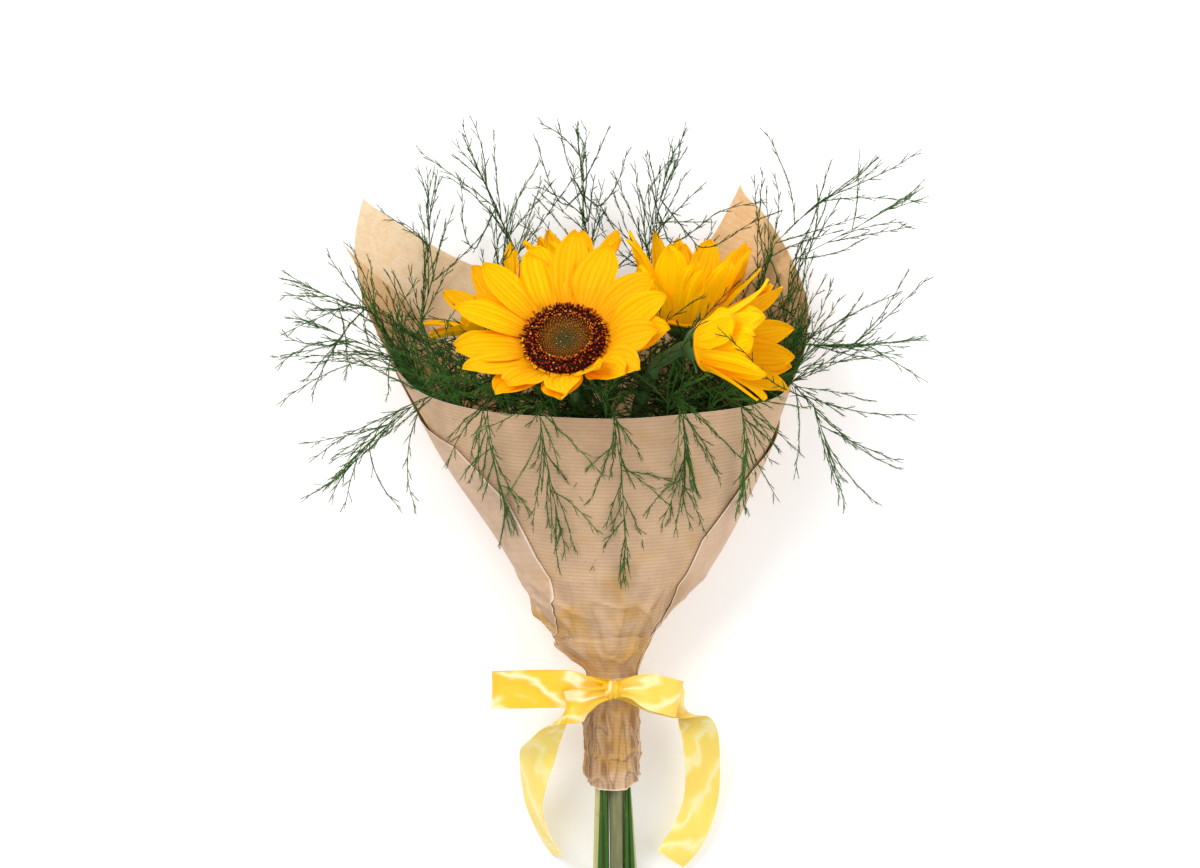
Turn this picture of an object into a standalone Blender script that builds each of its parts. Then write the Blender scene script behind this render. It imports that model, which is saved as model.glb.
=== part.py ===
"""A hand-tied bunch of five sunflowers with asparagus fern, wrapped in two sheets of kraft paper and
tied with a satin ribbon. It lies on its back on a table: stems towards -Y, blooms towards +Y, +Z up.

Lengths are millimetres until add_object scales them to metres. Angles round the bunch are degrees,
counted from +X (right) over +Z (front, uppermost) to -X (left).
"""

import math
import random

import bmesh
import bpy
from mathutils import Matrix, Vector
from mathutils.bvhtree import BVHTree

MM = 0.001
GAP = 0.35

# Place of the origin: the middle of the flat spot that the bunch rests on.
ORIGIN = Vector((-5.0, 215.0, 0.0))

# The bundle's axis is level with the stem ends at one end and with the open wrap at the other.
AXIS_HEIGHT = 44.0
AXIS_RISE = 0.14

# Paper
PAPER = 0.8
PLEATS = 15
PLEAT_DEPTH = 0.45

# Stems
STEM_RADIUS = 4.9
STEM_CIRCLE = 8.55
FERN_CIRCLE = 14.0
FERN_STEM = 1.0
FERN_FOOT = 1.8
NEEDLES = 2
LONG_SHOOT = 40.0

# Ribbon
RIBBON_WIDTH = 25.0
RIBBON_THICK = 0.9

# Blooms
BLADE = 0.7


# ---------------------------------------------------------------- small helpers


def at(table, x):
    """Straight-line reading of a short table of (x, value) pairs."""
    if x <= table[0][0]:
        return table[0][1]
    for (x0, v0), (x1, v1) in zip(table, table[1:]):
        if x <= x1:
            return v0 + (v1 - v0) * (x - x0) / (x1 - x0)
    return table[-1][1]


def lerp(a, b, t):
    return a + (b - a) * t


def smooth_path(points, step):
    """Points on a Catmull-Rom curve through the given ones, about `step` apart."""
    points = [Vector(p) for p in points]
    ends = [points[0] * 2 - points[1]] + points + [points[-1] * 2 - points[-2]]
    path = []
    for k in range(1, len(ends) - 2):
        p0, p1, p2, p3 = ends[k - 1 : k + 3]
        count = max(1, round((p2 - p1).length / step))
        for j in range(count):
            t = j / count
            path.append(
                0.5
                * (
                    2 * p1
                    + (p2 - p0) * t
                    + (2 * p0 - 5 * p1 + 4 * p2 - p3) * t * t
                    + (3 * p1 - p0 - 3 * p2 + p3) * t * t * t
                )
            )
    path.append(points[-1])
    return path


def tangents(path):
    last = len(path) - 1
    return [(path[min(k + 1, last)] - path[max(k - 1, 0)]).normalized() for k in range(last + 1)]


def clear_scene():
    for obj in list(bpy.data.objects):
        bpy.data.objects.remove(obj, do_unlink=True)


def material(name, colour, roughness):
    made = bpy.data.materials.new(name)
    made.use_nodes = True
    made.diffuse_color = (*colour, 1.0)
    shader = made.node_tree.nodes["Principled BSDF"]
    shader.inputs["Base Color"].default_value = (*colour, 1.0)
    shader.inputs["Roughness"].default_value = roughness
    shader.inputs["Metallic"].default_value = 0.0
    return made


def mesh_of(name, piece):
    verts, faces = piece
    mesh = bpy.data.meshes.new(name)
    mesh.from_pydata([(v - ORIGIN) * MM for v in verts], [], faces)
    body = bmesh.new()
    body.from_mesh(mesh)
    bmesh.ops.recalc_face_normals(body, faces=body.faces)
    bmesh.ops.triangulate(body, faces=body.faces)
    body.to_mesh(mesh)
    body.free()
    return mesh


def add_object(name, piece, finish, home=None):
    obj = bpy.data.objects.new(name, mesh_of(name, piece))
    obj.data.materials.append(finish)
    (home or bpy.context.scene.collection).objects.link(obj)
    return obj


def keep_largest(mesh):
    """Drops every loose shell but the largest one."""
    body = bmesh.new()
    body.from_mesh(mesh)
    body.verts.ensure_lookup_table()
    seen = set()
    shells = []
    for start in body.verts:
        if start.index in seen:
            continue
        shell = [start]
        seen.add(start.index)
        for vert in shell:
            for edge in vert.link_edges:
                other = edge.other_vert(vert)
                if other.index not in seen:
                    seen.add(other.index)
                    shell.append(other)
        shells.append(shell)
    shells.sort(key=len, reverse=True)
    for shell in shells[1:]:
        bmesh.ops.delete(body, geom=shell, context="VERTS")
    bmesh.ops.triangulate(body, faces=body.faces)
    body.to_mesh(mesh)
    body.free()


def fused(name, pieces, finish):
    """One body made of overlapping closed pieces; the first one is its core."""
    core = add_object(name, pieces[0], finish)
    extra = bpy.data.collections.new(name + "_parts")
    bpy.context.scene.collection.children.link(extra)
    for k, piece in enumerate(pieces[1:]):
        add_object(name + "_part_%03d" % k, piece, finish, extra)
    union = core.modifiers.new("union", "BOOLEAN")
    union.operation = "UNION"
    union.operand_type = "COLLECTION"
    union.collection = extra
    union.solver = "MANIFOLD"
    bpy.context.view_layer.update()
    graph = bpy.context.evaluated_depsgraph_get()
    joined = bpy.data.meshes.new_from_object(core.evaluated_get(graph))
    core.modifiers.clear()
    core.data = joined
    keep_largest(joined)
    joined.materials.clear()
    joined.materials.append(finish)
    for obj in list(extra.objects):
        bpy.data.objects.remove(obj, do_unlink=True)
    bpy.data.collections.remove(extra)
    OBSTACLES.extend(pieces)
    return core


OBSTACLES = []


def obstacle_tree():
    verts = []
    faces = []
    for piece_verts, piece_faces in OBSTACLES:
        first = len(verts)
        verts.extend(piece_verts)
        faces.extend(tuple(first + k for k in face) for face in piece_faces)
    return BVHTree.FromPolygons(verts, faces)


# ---------------------------------------------------------------- closed pieces


def tube(path, radii, sides, turn=0.0):
    """A closed tube of flat sides along a path, with the same section carried along it."""
    verts = []
    faces = []
    across = None
    for centre, along, radius in zip(path, tangents(path), radii):
        if across is None:
            across = along.orthogonal().normalized()
            across.rotate(Matrix.Rotation(turn, 3, along))
        across = (across - along * across.dot(along)).normalized()
        other = along.cross(across)
        for k in range(sides):
            angle = math.tau * k / sides
            verts.append(centre + (across * math.cos(angle) + other * math.sin(angle)) * radius)
    for ring in range(len(path) - 1):
        for k in range(sides):
            a = ring * sides + k
            b = ring * sides + (k + 1) % sides
            faces.append((a, b, b + sides, a + sides))
    faces.append(tuple(range(sides)))
    faces.append(tuple(len(verts) - sides + k for k in range(sides)))
    return verts, faces


def needle(root, tip, radius):
    """A slender three-sided spike."""
    along = (tip - root).normalized()
    across = along.orthogonal().normalized()
    other = along.cross(across)
    verts = [tip]
    for k in range(3):
        angle = math.tau * k / 3
        verts.append(root + (across * math.cos(angle) + other * math.sin(angle)) * radius)
    return verts, [(1, 2, 3), (0, 1, 2), (0, 2, 3), (0, 3, 1)]


def blade(rows, tip, up, thickness):
    """A leaf-like plate: rows of left, middle and right points, then one point at the tip."""
    top = [p for row in rows for p in row] + [tip]
    half = up * (thickness / 2)
    count = len(top)
    verts = [p + half for p in top] + [p - half for p in top]
    faces = []
    last = len(rows) - 1
    for r in range(last):
        for c in range(2):
            a = 3 * r + c
            faces.extend([(a, a + 1, a + 4), (a, a + 4, a + 3)])
    faces.extend([(3 * last, 3 * last + 1, count - 1), (3 * last + 1, 3 * last + 2, count - 1)])
    faces.extend([tuple(count + k for k in reversed(face)) for face in list(faces)])
    rim = [3 * r for r in range(last + 1)] + [count - 1] + [3 * r + 2 for r in range(last, -1, -1)] + [1]
    for a, b in zip(rim, rim[1:] + rim[:1]):
        faces.extend([(a, b, b + count), (a, b + count, a + count)])
    return verts, faces


def sheet(grid):
    """A closed plate from a grid of (outer, inner) point pairs."""
    rows = len(grid)
    columns = len(grid[0])
    verts = [pair[0] for row in grid for pair in row] + [pair[1] for row in grid for pair in row]
    count = rows * columns
    faces = []
    for r in range(rows - 1):
        for c in range(columns - 1):
            a = r * columns + c
            b, d, e = a + 1, a + columns + 1, a + columns
            if (verts[a] - verts[d]).length < (verts[b] - verts[e]).length:
                halves = ((a, b, d), (a, d, e))
            else:
                halves = ((a, b, e), (b, d, e))
            for triangle in halves:
                faces.append(triangle)
                faces.append(tuple(count + k for k in reversed(triangle)))
    rim = [c for c in range(columns)]
    rim += [r * columns + columns - 1 for r in range(1, rows)]
    rim += [(rows - 1) * columns + c for c in range(columns - 2, -1, -1)]
    rim += [r * columns for r in range(rows - 2, 0, -1)]
    for a, b in zip(rim, rim[1:] + rim[:1]):
        faces.append((a, b, b + count, a + count))
    return verts, faces


def strip(path, wides, widths, thickness):
    """A flat band along a path; `wides` gives the direction of its width at each point."""
    pairs = []
    for centre, along, wide, width in zip(path, tangents(path), wides, widths):
        wide = (wide - along * wide.dot(along)).normalized()
        up = wide.cross(along).normalized() * (thickness / 2)
        side = wide * (width / 2)
        pairs.append([(centre - side + up, centre - side - up), (centre + side + up, centre + side - up)])
    return sheet(pairs)


def turned(profile, sides, place):
    """A closed solid of revolution: profile of (radius, height) pairs, set by `place`."""
    verts = []
    faces = []
    for radius, height in profile:
        for k in range(sides):
            angle = math.tau * k / sides
            verts.append(place(radius * math.cos(angle), radius * math.sin(angle), height))
    for ring in range(len(profile) - 1):
        for k in range(sides):
            a = ring * sides + k
            b = ring * sides + (k + 1) % sides
            faces.append((a, b, b + sides, a + sides))
    faces.append(tuple(range(sides)))
    faces.append(tuple(len(verts) - sides + k for k in range(sides)))
    return verts, faces


# ---------------------------------------------------------------- paper wrap

LEFT_REACH = [
    (-71, 18.2), (-30, 16.8), (0, 16.6), (9, 17), (18, 24.5), (27, 35), (37, 38.5), (48, 49.5),
    (62, 55), (99, 76), (160, 116), (187, 131), (218, 148), (304, 188), (350, 200),
]
RIGHT_REACH = [
    (-71, 18.2), (-30, 16.8), (0, 16.6), (9, 16.8), (18, 18.4), (37, 27.5), (48, 35.5), (80, 64),
    (160, 104), (209, 122), (235, 131), (265, 136), (292, 133), (350, 124),
]
TOP_REACH = [
    (-71, 18.2), (-30, 16.8), (0, 16.6), (9, 16.8), (16, 18.8), (184, 70), (350, 100),
]
UNDERSIDE = [
    (-71, 15.9), (-30, 23), (-10, 26), (0, 27.4), (9, 28.4), (16, 27.6), (50, 15), (92, 5),
    (128, -3), (285, -3), (350, 0),
]


def wrap_point(angle, y, offset, floor=0.0):
    """A point of the wrap at an angle and a height up the bunch, `offset` outside its middle layer."""
    turn = math.radians(angle)
    centre = AXIS_HEIGHT + AXIS_RISE * y
    wide = at(RIGHT_REACH if math.cos(turn) > 0 else LEFT_REACH, y)
    deep = at(TOP_REACH, y) if math.sin(turn) > 0 else centre - at(UNDERSIDE, y)
    fade = math.exp(-max(0.0, y) / 28.0)
    pleat = PLEAT_DEPTH * fade * math.cos(PLEATS * turn)
    open_wrap = min(1.0, max(0.0, y) / 180.0)
    pleat += 1.6 * open_wrap * math.sin(3 * turn + 0.8)
    x = (wide + offset + pleat) * math.cos(turn)
    z = centre + (deep + offset + pleat) * math.sin(turn)
    return Vector((x, y, max(z, floor)))


def layer_gap(y):
    return GAP + 1.3 * min(1.0, max(0.0, y) / 150.0)


LOW_ROWS = [-71, -50, -28, -9, 9, 18, 27, 37, 48, 62, 92]
HIGH_START = 128
HIGH_ROWS = [0.0, 0.1, 0.2, 0.4, 0.6, 0.8, 1.0]
EDGE_LIFT = 3.6

# Each edge table is (height, angle); each rim table is (angle, height).
FRONT_LEFT = [
    (-71, 252), (130, 252), (190, 238), (230, 225), (270, 213), (290, 200), (304, 189),
]
FRONT_RIGHT = [
    (-71, -84), (130, -84), (170, -80), (250, -68), (309, -58), (348, -43),
]
FRONT_RIM = [
    (-43, 348), (-20, 292), (-10, 262), (0, 232), (10, 209), (25, 198), (60, 188), (90, 184),
    (120, 187), (150, 198), (168, 216), (180, 262), (189, 304),
]
FRONT_FIXED = [12 * k for k in range(-3, 16)]
BACK_LEFT = [
    (-71, 144), (40, 144), (73, 132), (128, 134), (165, 150), (187, 180), (296, 198),
    (337, 210),
]
BACK_RIGHT = [
    (-71, 384), (40, 384), (71, 402), (102, 400), (150, 382), (172, 364),
]
BACK_RIM = [
    (210, 337), (240, 291), (262, 272), (285, 262), (310, 240), (340, 200), (364, 172),
]
BACK_FIXED = [12 * k for k in range(18, 30)]


def edge_angles(edge, nearest, count, height):
    """Angles of the columns between the fixed ones and a side edge of the sheet, at a height."""
    return [lerp(nearest, at(edge, height), k / count) for k in range(1, count + 1)]


def wrap_sheet(first_edge, last_edge, fixed, extras, rim, outside):
    """Rows run from the sleeve's end up to the rim; columns keep their angle except near the sides."""
    grid = []
    steps = [(y, 0.0) for y in LOW_ROWS] + [(HIGH_START, f) for f in HIGH_ROWS]
    top_first = edge_angles(first_edge, fixed[0], extras[0], first_edge[-1][0])[::-1]
    top_last = edge_angles(last_edge, fixed[-1], extras[1], last_edge[-1][0])
    rims = [at(rim, angle) for angle in top_first + fixed + top_last]
    for low, rise in steps:
        angles = edge_angles(first_edge, fixed[0], extras[0], lerp(low, rims[0], rise))[::-1]
        angles += fixed + edge_angles(last_edge, fixed[-1], extras[1], lerp(low, rims[-1], rise))
        row = []
        for column, (angle, rim_height) in enumerate(zip(angles, rims)):
            y = lerp(low, rim_height, rise)
            near_side = max(0.0, 1 - column / extras[0], 1 - (len(rims) - 1 - column) / extras[1])
            gap = layer_gap(y)
            if outside:
                gap += EDGE_LIFT * near_side * min(1.0, max(0.0, y - 20) / 110)
            base = gap if outside else -PAPER
            low_face = 0.0 if outside else PAPER + gap
            row.append((wrap_point(angle, y, base + PAPER, low_face),
                        wrap_point(angle, y, base, low_face + PAPER)))
        grid.append(row)
    return sheet(grid)


def build_wrap(kraft, cream):
    front = wrap_sheet(FRONT_RIGHT, FRONT_LEFT, FRONT_FIXED, (4, 6), FRONT_RIM, False)
    back = wrap_sheet(BACK_LEFT, BACK_RIGHT, BACK_FIXED, (6, 3), BACK_RIM, True)
    OBSTACLES.extend([front, back])
    add_object("wrap_front", front, kraft)
    add_object("wrap_back", back, cream)


# ---------------------------------------------------------------- ribbon


def band(radius, width, sides):
    """The ring of ribbon round the tie."""
    verts = []
    faces = []
    for k in range(sides):
        turn = math.tau * k / sides
        for y, r in ((-width / 2, radius), (width / 2, radius),
                     (width / 2, radius + RIBBON_THICK), (-width / 2, radius + RIBBON_THICK)):
            verts.append(Vector((r * math.cos(turn), y, AXIS_HEIGHT + AXIS_RISE * y + r * math.sin(turn))))
    for k in range(sides):
        for j in range(4):
            a = 4 * k + j
            b = 4 * k + (j + 1) % 4
            c = (4 * (k + 1) + (j + 1) % 4) % (4 * sides)
            d = (4 * (k + 1) + j) % (4 * sides)
            faces.append((a, b, c, d))
    return verts, faces


def knot():
    """A pinched lump over the band, wider across the bunch than along it."""
    profile = [(3.0, -8.3), (7.0, -5.2), (8.6, 0.3), (6.8, 5.6), (3.2, 8.4)]
    return turned(profile, 9, lambda a, b, h: Vector((-0.5 + h, -0.4 + a * 0.98, 69.2 + b * 0.72)))


def gathered(path):
    """The ribbon's width along a path: pinched in the knot, full a little way out of it."""
    return [RIBBON_WIDTH * min(1.0, 0.4 + 0.6 * max(0.0, abs(p.x) - 4.0) / 20.0) for p in path]


def loop(points, wide):
    path = smooth_path(points, 16.0)
    return strip(path, [Vector(wide)] * len(path), gathered(path), RIBBON_THICK)


def tail(points, wides):
    """A ribbon end: each point has its own width direction, carried smoothly between them."""
    path = smooth_path(points, 22.0)
    marks = [Vector(w) for w in wides]
    dirs = []
    for k in range(len(path)):
        s = k / (len(path) - 1) * (len(marks) - 1)
        j = min(int(s), len(marks) - 2)
        dirs.append(marks[j].lerp(marks[j + 1], s - j))
    return strip(path, dirs, gathered(path), RIBBON_THICK)


def build_ribbon(satin):
    left_loop = loop(
        [(-3, 0.2, 69), (-22, 0.5, 74), (-50, 0.5, 78), (-76, 0, 77), (-82, 0, 72), (-74, 0, 67.5),
         (-48, 0.5, 65), (-22, 0, 65.5), (-3.4, -0.3, 67)],
        (0.02, 1, 0),
    )
    right_loop = loop(
        [(3, 0.4, 69.4), (16, 1.5, 76), (31, -2, 79.5), (43, -5.5, 76), (46, -6.5, 71.5),
         (40, -5.5, 66.5), (26, -2, 65.2), (13, 0, 66), (3.3, -0.2, 67.4)],
        (0.22, 1, 0),
    )
    left_tail = tail(
        [(-3, -2.5, 65.2), (-24, -8, 62.5), (-42, -24, 55), (-54, -52, 40), (-55, -82, 25),
         (-47, -107, 16), (-37, -122, 14)],
        [(0.2, 1, 0), (0.35, 0.9, 0.1), (0.75, 0.5, 0.35), (0.65, 0.15, 0.7), (0.45, 0.0, 0.9),
         (0.35, 0.1, 0.93), (0.35, 0.1, 0.93)],
    )
    right_tail = tail(
        [(3.5, -2.2, 65.6), (24, -4, 61.5), (45, -10, 57), (59, -28, 47), (63, -55, 32), (62, -83, 18),
         (53, -108, 14), (41, -124, 12.5)],
        [(0, 1, 0), (-0.2, 1, 0), (-0.6, 0.8, 0), (-0.95, 0.3, 0.25), (-1, 0, 0.3), (-1, -0.1, 0.2),
         (-0.9, -0.5, 0), (-0.75, -0.7, 0)],
    )
    pieces = [band(19.2, 15.0, 18), knot(), left_loop, right_loop, left_tail, right_tail]
    fused("ribbon", pieces, satin)


# ---------------------------------------------------------------- sunflowers


def facing(centre, normal, roll):
    """A place maker: local x, y in the bloom's face and z along its normal."""
    normal = Vector(normal).normalized()
    right = Vector((0, 1, 0)).cross(normal) if abs(normal.y) < 0.95 else Vector((1, 0, 0))
    right = (right - normal * right.dot(normal)).normalized()
    up = normal.cross(right)
    turn = math.radians(roll)
    axis_a = right * math.cos(turn) + up * math.sin(turn)
    axis_b = up * math.cos(turn) - right * math.sin(turn)
    centre = Vector(centre)
    return lambda a, b, h: centre + axis_a * a + axis_b * b + normal * h


def cup_at(bloom, angle):
    """Rise of the petals above the bloom's face: some blooms close up towards one side."""
    side, extra = bloom.get("tuck", (0, 0))
    return bloom["cup"] + extra * max(0.0, math.cos(math.radians(angle - side)))


def petal(place, bloom, angle, layer, draw):
    """One ray petal: flat under the disc's edge, then rising at the cup's angle and bending back a bit."""
    disc = bloom["disc"]
    length = bloom["petal"] * draw.uniform(0.88, 1.06) * (0.93 if layer else 1.0)
    width = bloom["width"] * draw.uniform(0.86, 1.1)
    cup = cup_at(bloom, angle)
    rise = math.radians(cup - 9.0 * layer + draw.uniform(-3, 3))
    bend = math.radians(draw.uniform(-26, 4))
    twist = math.radians(9.0 + draw.uniform(-3, 3))
    drift = draw.uniform(-0.06, 0.06)
    height = -1.15 - 1.3 * layer
    marks = [(0.0, 0.5), (0.36, 0.98), (0.74, 0.84)]
    rows = []
    here = Vector((disc + 0.3, height))
    for k, (share, spread) in enumerate(marks):
        if k > 0:
            step = (share - marks[k - 1][0]) * length
            lean = rise + bend * share
            here = here + Vector((math.cos(lean), math.sin(lean))) * step
        half = width / 2 * spread
        side = math.radians(angle) + drift * share
        out = Vector((math.cos(side), math.sin(side)))
        across = Vector((-out.y, out.x))
        dish = 0.0 if k < 1 else width * 0.075
        row = []
        for c in (-1, 0, 1):
            tilt = c * half * math.sin(twist) * (0.25 if k < 1 else 1.0) + abs(c) * dish
            row.append(place(out.x * here.x + across.x * c * half, out.y * here.x + across.y * c * half,
                             here.y + tilt))
        rows.append(row)
    lean = rise + bend
    here = here + Vector((math.cos(lean), math.sin(lean))) * length * 0.26
    side = math.radians(angle) + drift
    tip = place(math.cos(side) * here.x, math.sin(side) * here.x, here.y)
    lift = math.radians(cup) * 0.6
    base = place(0, 0, 0)
    up = (place(-math.sin(lift) * math.cos(side), -math.sin(lift) * math.sin(side), math.cos(lift)) - base)
    return blade(rows, tip, up.normalized(), BLADE)


def petal_plate(place, disc):
    return turned([(disc + 1.0, -3.2), (disc + 1.9, -1.9), (disc + 1.0, -0.65)], 12, place)


def disc_face(place, radius, rings, sectors):
    """The domed disc of florets: a ring of tall ones round a shallower middle, in offset rows."""
    scale = radius / 27.0
    rise = [(0, 2.6), (9, 3.2), (15, 5.0), (21, 6.2), (25.5, 4.6), (27, 1.4)]
    verts = [place(0, 0, 2.0 * scale)]
    faces = []
    for k in range(1, rings + 1):
        r = 27.0 * (k / rings) ** 0.85
        for m in range(sectors):
            turn = math.tau * (m + 0.5 * k) / sectors
            bump = (0.75 if (m + k) % 2 else -0.55) * (0.6 if k == rings else 1.0)
            verts.append(place(r * scale * math.cos(turn), r * scale * math.sin(turn),
                               (at(rise, r) + bump) * scale))
    for m in range(sectors):
        faces.append((0, 1 + m, 1 + (m + 1) % sectors))
    for k in range(1, rings):
        for m in range(sectors):
            a = 1 + (k - 1) * sectors + m
            b = 1 + (k - 1) * sectors + (m + 1) % sectors
            faces.extend([(a, b, a + sectors), (b, b + sectors, a + sectors)])
    first = 1 + (rings - 1) * sectors
    for m in range(sectors):
        turn = math.tau * (m + 0.5 * rings) / sectors
        verts.append(place((radius - 0.5) * math.cos(turn), (radius - 0.5) * math.sin(turn), -0.3))
    below = first + sectors
    for m in range(sectors):
        n = (m + 1) % sectors
        faces.append((first + m, first + n, below + n, below + m))
    faces.append(tuple(below + m for m in range(sectors)))
    return verts, faces


def bract(place, bloom, angle, draw):
    disc = bloom["disc"]
    length = draw.uniform(20, 27) * disc / 27
    rise = math.radians(min(28, bloom["cup"] - 20) + draw.uniform(-10, 0))
    half = draw.uniform(3.6, 4.8)
    root = disc * 0.8 - 3.0
    below = -4.5 - (disc + 1.9 - root) * math.tan(rise)
    turn = math.radians(angle)
    out = Vector((math.cos(turn), math.sin(turn)))
    across = Vector((-out.y, out.x))
    rows = []
    for share, spread in ((0.0, 1.0), (0.45, 0.85)):
        r = root + length * share * math.cos(rise)
        h = below + length * share * math.sin(rise)
        foot = out * r
        side = across * half * spread
        row = []
        for c in (-1, 0, 1):
            row.append(place(foot.x + side.x * c, foot.y + side.y * c, h - 0.8 * (1 - abs(c))))
        rows.append(row)
    r = root + length * math.cos(rise)
    tip = place(out.x * r, out.y * r, below + length * math.sin(rise))
    up = place(-out.x * math.sin(rise), -out.y * math.sin(rise), math.cos(rise)) - place(0, 0, 0)
    return blade(rows, tip, up.normalized(), BLADE)


def stem_path(bloom, normal, neck):
    """From the cut end through the tie to the back of the bloom, turning into its normal."""
    turn = math.radians(bloom["slot"])
    spot = Vector((STEM_CIRCLE * math.cos(turn), 0, STEM_CIRCLE * math.sin(turn)))

    def level(y):
        return Vector((spot.x, y, AXIS_HEIGHT + AXIS_RISE * y + spot.z))

    end_x, end_y, end_z = bloom["end"]
    low = [Vector((end_x, end_y, end_z)), Vector((end_x, -135, end_z)).lerp(level(-135), 0.42), level(-72)]
    path = low + [level(0)]
    start = level(12)
    reach = neck - start
    handle_a = start + Vector((reach.x * 0.22, reach.length * 0.42, reach.z * 0.2))
    handle_b = neck - normal * reach.length * 0.2
    for k in range(6):
        t = k / 6
        path.append(start * (1 - t) ** 3 + handle_a * 3 * t * (1 - t) ** 2 + handle_b * 3 * t * t * (1 - t)
                    + neck * t ** 3)
    path.append(neck)
    path.append(neck + normal * 6)
    return path


def build_bloom(bloom, finishes):
    stem_green, petal_yellow, disc_brown = finishes
    draw = random.Random(bloom["seed"])
    normal = Vector(bloom["normal"]).normalized()
    centre = Vector(bloom["centre"])
    place = facing(centre, normal, bloom["roll"])
    disc = bloom["disc"]
    name = bloom["name"]

    neck = centre - normal * 17
    path = stem_path(bloom, normal, neck)
    radii = [STEM_RADIUS - 0.3] * 2 + [STEM_RADIUS - 0.1]
    radii += [STEM_RADIUS - 0.05 * k for k in range(len(path) - 3)]
    cup = turned([(4.2, -17), (disc * 0.45, -14.5), (disc * 0.8, -9.5), (disc - 1.5, -3.7)], 8, place)
    bracts = [bract(place, bloom, 360 / bloom["bracts"] * k + draw.uniform(-6, 6), draw)
              for k in range(bloom["bracts"])]
    fused("stem_" + name, [tube(path, radii, 8), cup] + bracts, stem_green)

    petals = [petal_plate(place, disc)]
    for layer, count in enumerate(bloom["petals"]):
        for k in range(count):
            angle = 360 / count * (k + 0.5 * layer) + draw.uniform(-4, 4)
            petals.append(petal(place, bloom, angle, layer, draw))
    fused("petals_" + name, petals, petal_yellow)

    rings, sectors = bloom["florets"]
    florets = disc_face(place, disc, rings, sectors)
    OBSTACLES.append(florets)
    add_object("disc_" + name, florets, disc_brown)


BLOOMS = [
    dict(name="main", centre=(-31, 235, 155), normal=(-0.08, 0.56, 0.83), roll=12, disc=27, petal=50,
         width=25, cup=28, tuck=(285, 24), petals=(14, 9), bracts=8, florets=(7, 32), slot=144,
         end=(-10, -178, 15.5), seed=11),
    dict(name="right_back", centre=(50, 254, 76), normal=(0.12, 0.95, 0.26), roll=5, disc=19, petal=58,
         width=22, cup=71, petals=(11, 6), bracts=5, florets=(4, 18), slot=0, end=(17, -176, 13), seed=23),
    dict(name="right_front", centre=(62, 232, 138), normal=(0.9, 0.06, 0.4), roll=20, disc=15, petal=54,
         width=23, cup=74, petals=(9, 4), bracts=5, florets=(4, 18), slot=72, end=(4, -184, 22.5), seed=35),
    dict(name="top_back", centre=(-25, 278, 70), normal=(-0.02, 0.94, 0.2), roll=0, disc=17, petal=37,
         width=18, cup=66, petals=(9, 4), bracts=5, florets=(4, 18), slot=288, end=(9, -181, 4.9), seed=47),
    dict(name="left_back", centre=(-78, 256, 75), normal=(-0.66, 0.7, 0.24), roll=10, disc=17, petal=40,
         width=18, cup=50, petals=(8, 4), bracts=5, florets=(4, 18), slot=216, end=(-6, -174, 4.9), seed=59),
]


# ---------------------------------------------------------------- fern


def free_length(tree, start, tip, clearance):
    """How far from start towards tip a shoot stays clear of everything built before."""
    reach = (tip - start).length
    steps = max(2, int(reach / 1.3))
    for k in range(1, steps + 1):
        if tree.find_nearest(start.lerp(tip, k / steps), clearance)[0] is not None:
            return (k - 1) / steps
    return 1.0


def clear_path(tree, path, fixed, clearance):
    """Moves the loose part of a path away from whatever it passes too close to."""
    path = [p.copy() for p in path]
    for _ in range(60):
        moved = False
        for k in range(fixed, len(path)):
            for share in (0.17, 0.34, 0.5, 0.67, 0.84, 1.0):
                spot = path[k - 1].lerp(path[k], share)
                found, _n, _i, distance = tree.find_nearest(spot, clearance)
                if found is None:
                    continue
                away = spot - found
                away = away.normalized() if away.length > 1e-6 else Vector((0, 0, 1))
                push = away * (clearance - distance + 0.1)
                path[k] = path[k] + push * share
                path[k].z = max(path[k].z, 2.0)
                if k > fixed:
                    path[k - 1] = path[k - 1] + push * (1 - share)
                    path[k - 1].z = max(path[k - 1].z, 2.0)
                moved = True
        if not moved:
            break
    return path


def shoot(tree, start, direction, length, fall, draw):
    """A thin side branch with needles; nothing where there is no room for it."""
    direction = direction.normalized()
    tip = start + direction * length + Vector((0, 0, -fall))
    tip.z = max(tip.z, 1.5)
    room = free_length(tree, start + direction * 2.0, tip, 1.0)
    if room * length < 9.0:
        return []
    tip = start.lerp(tip, room)
    reach = (tip - start).length
    along = (tip - start).normalized()
    pieces = [needle(start - along * 0.3, tip, 0.62)]
    count = NEEDLES if reach > LONG_SHOOT else 1
    for k in range(count):
        spot = start.lerp(tip, (k + 1.0) / (count + 1.0) + draw.uniform(-0.06, 0.06))
        side = along.orthogonal().normalized()
        side.rotate(Matrix.Rotation(k * 2.6 + draw.uniform(0, 1.5), 3, along))
        aim = (along * 1.1 + side).normalized()
        tip_at = spot + aim * draw.uniform(8.0, 12.0)
        tip_at.z = max(tip_at.z, 0.8)
        if free_length(tree, spot + aim * 0.8, tip_at, 0.85) == 1.0:
            pieces.append(needle(spot - aim * 0.2, tip_at, 0.42))
    return pieces


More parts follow.
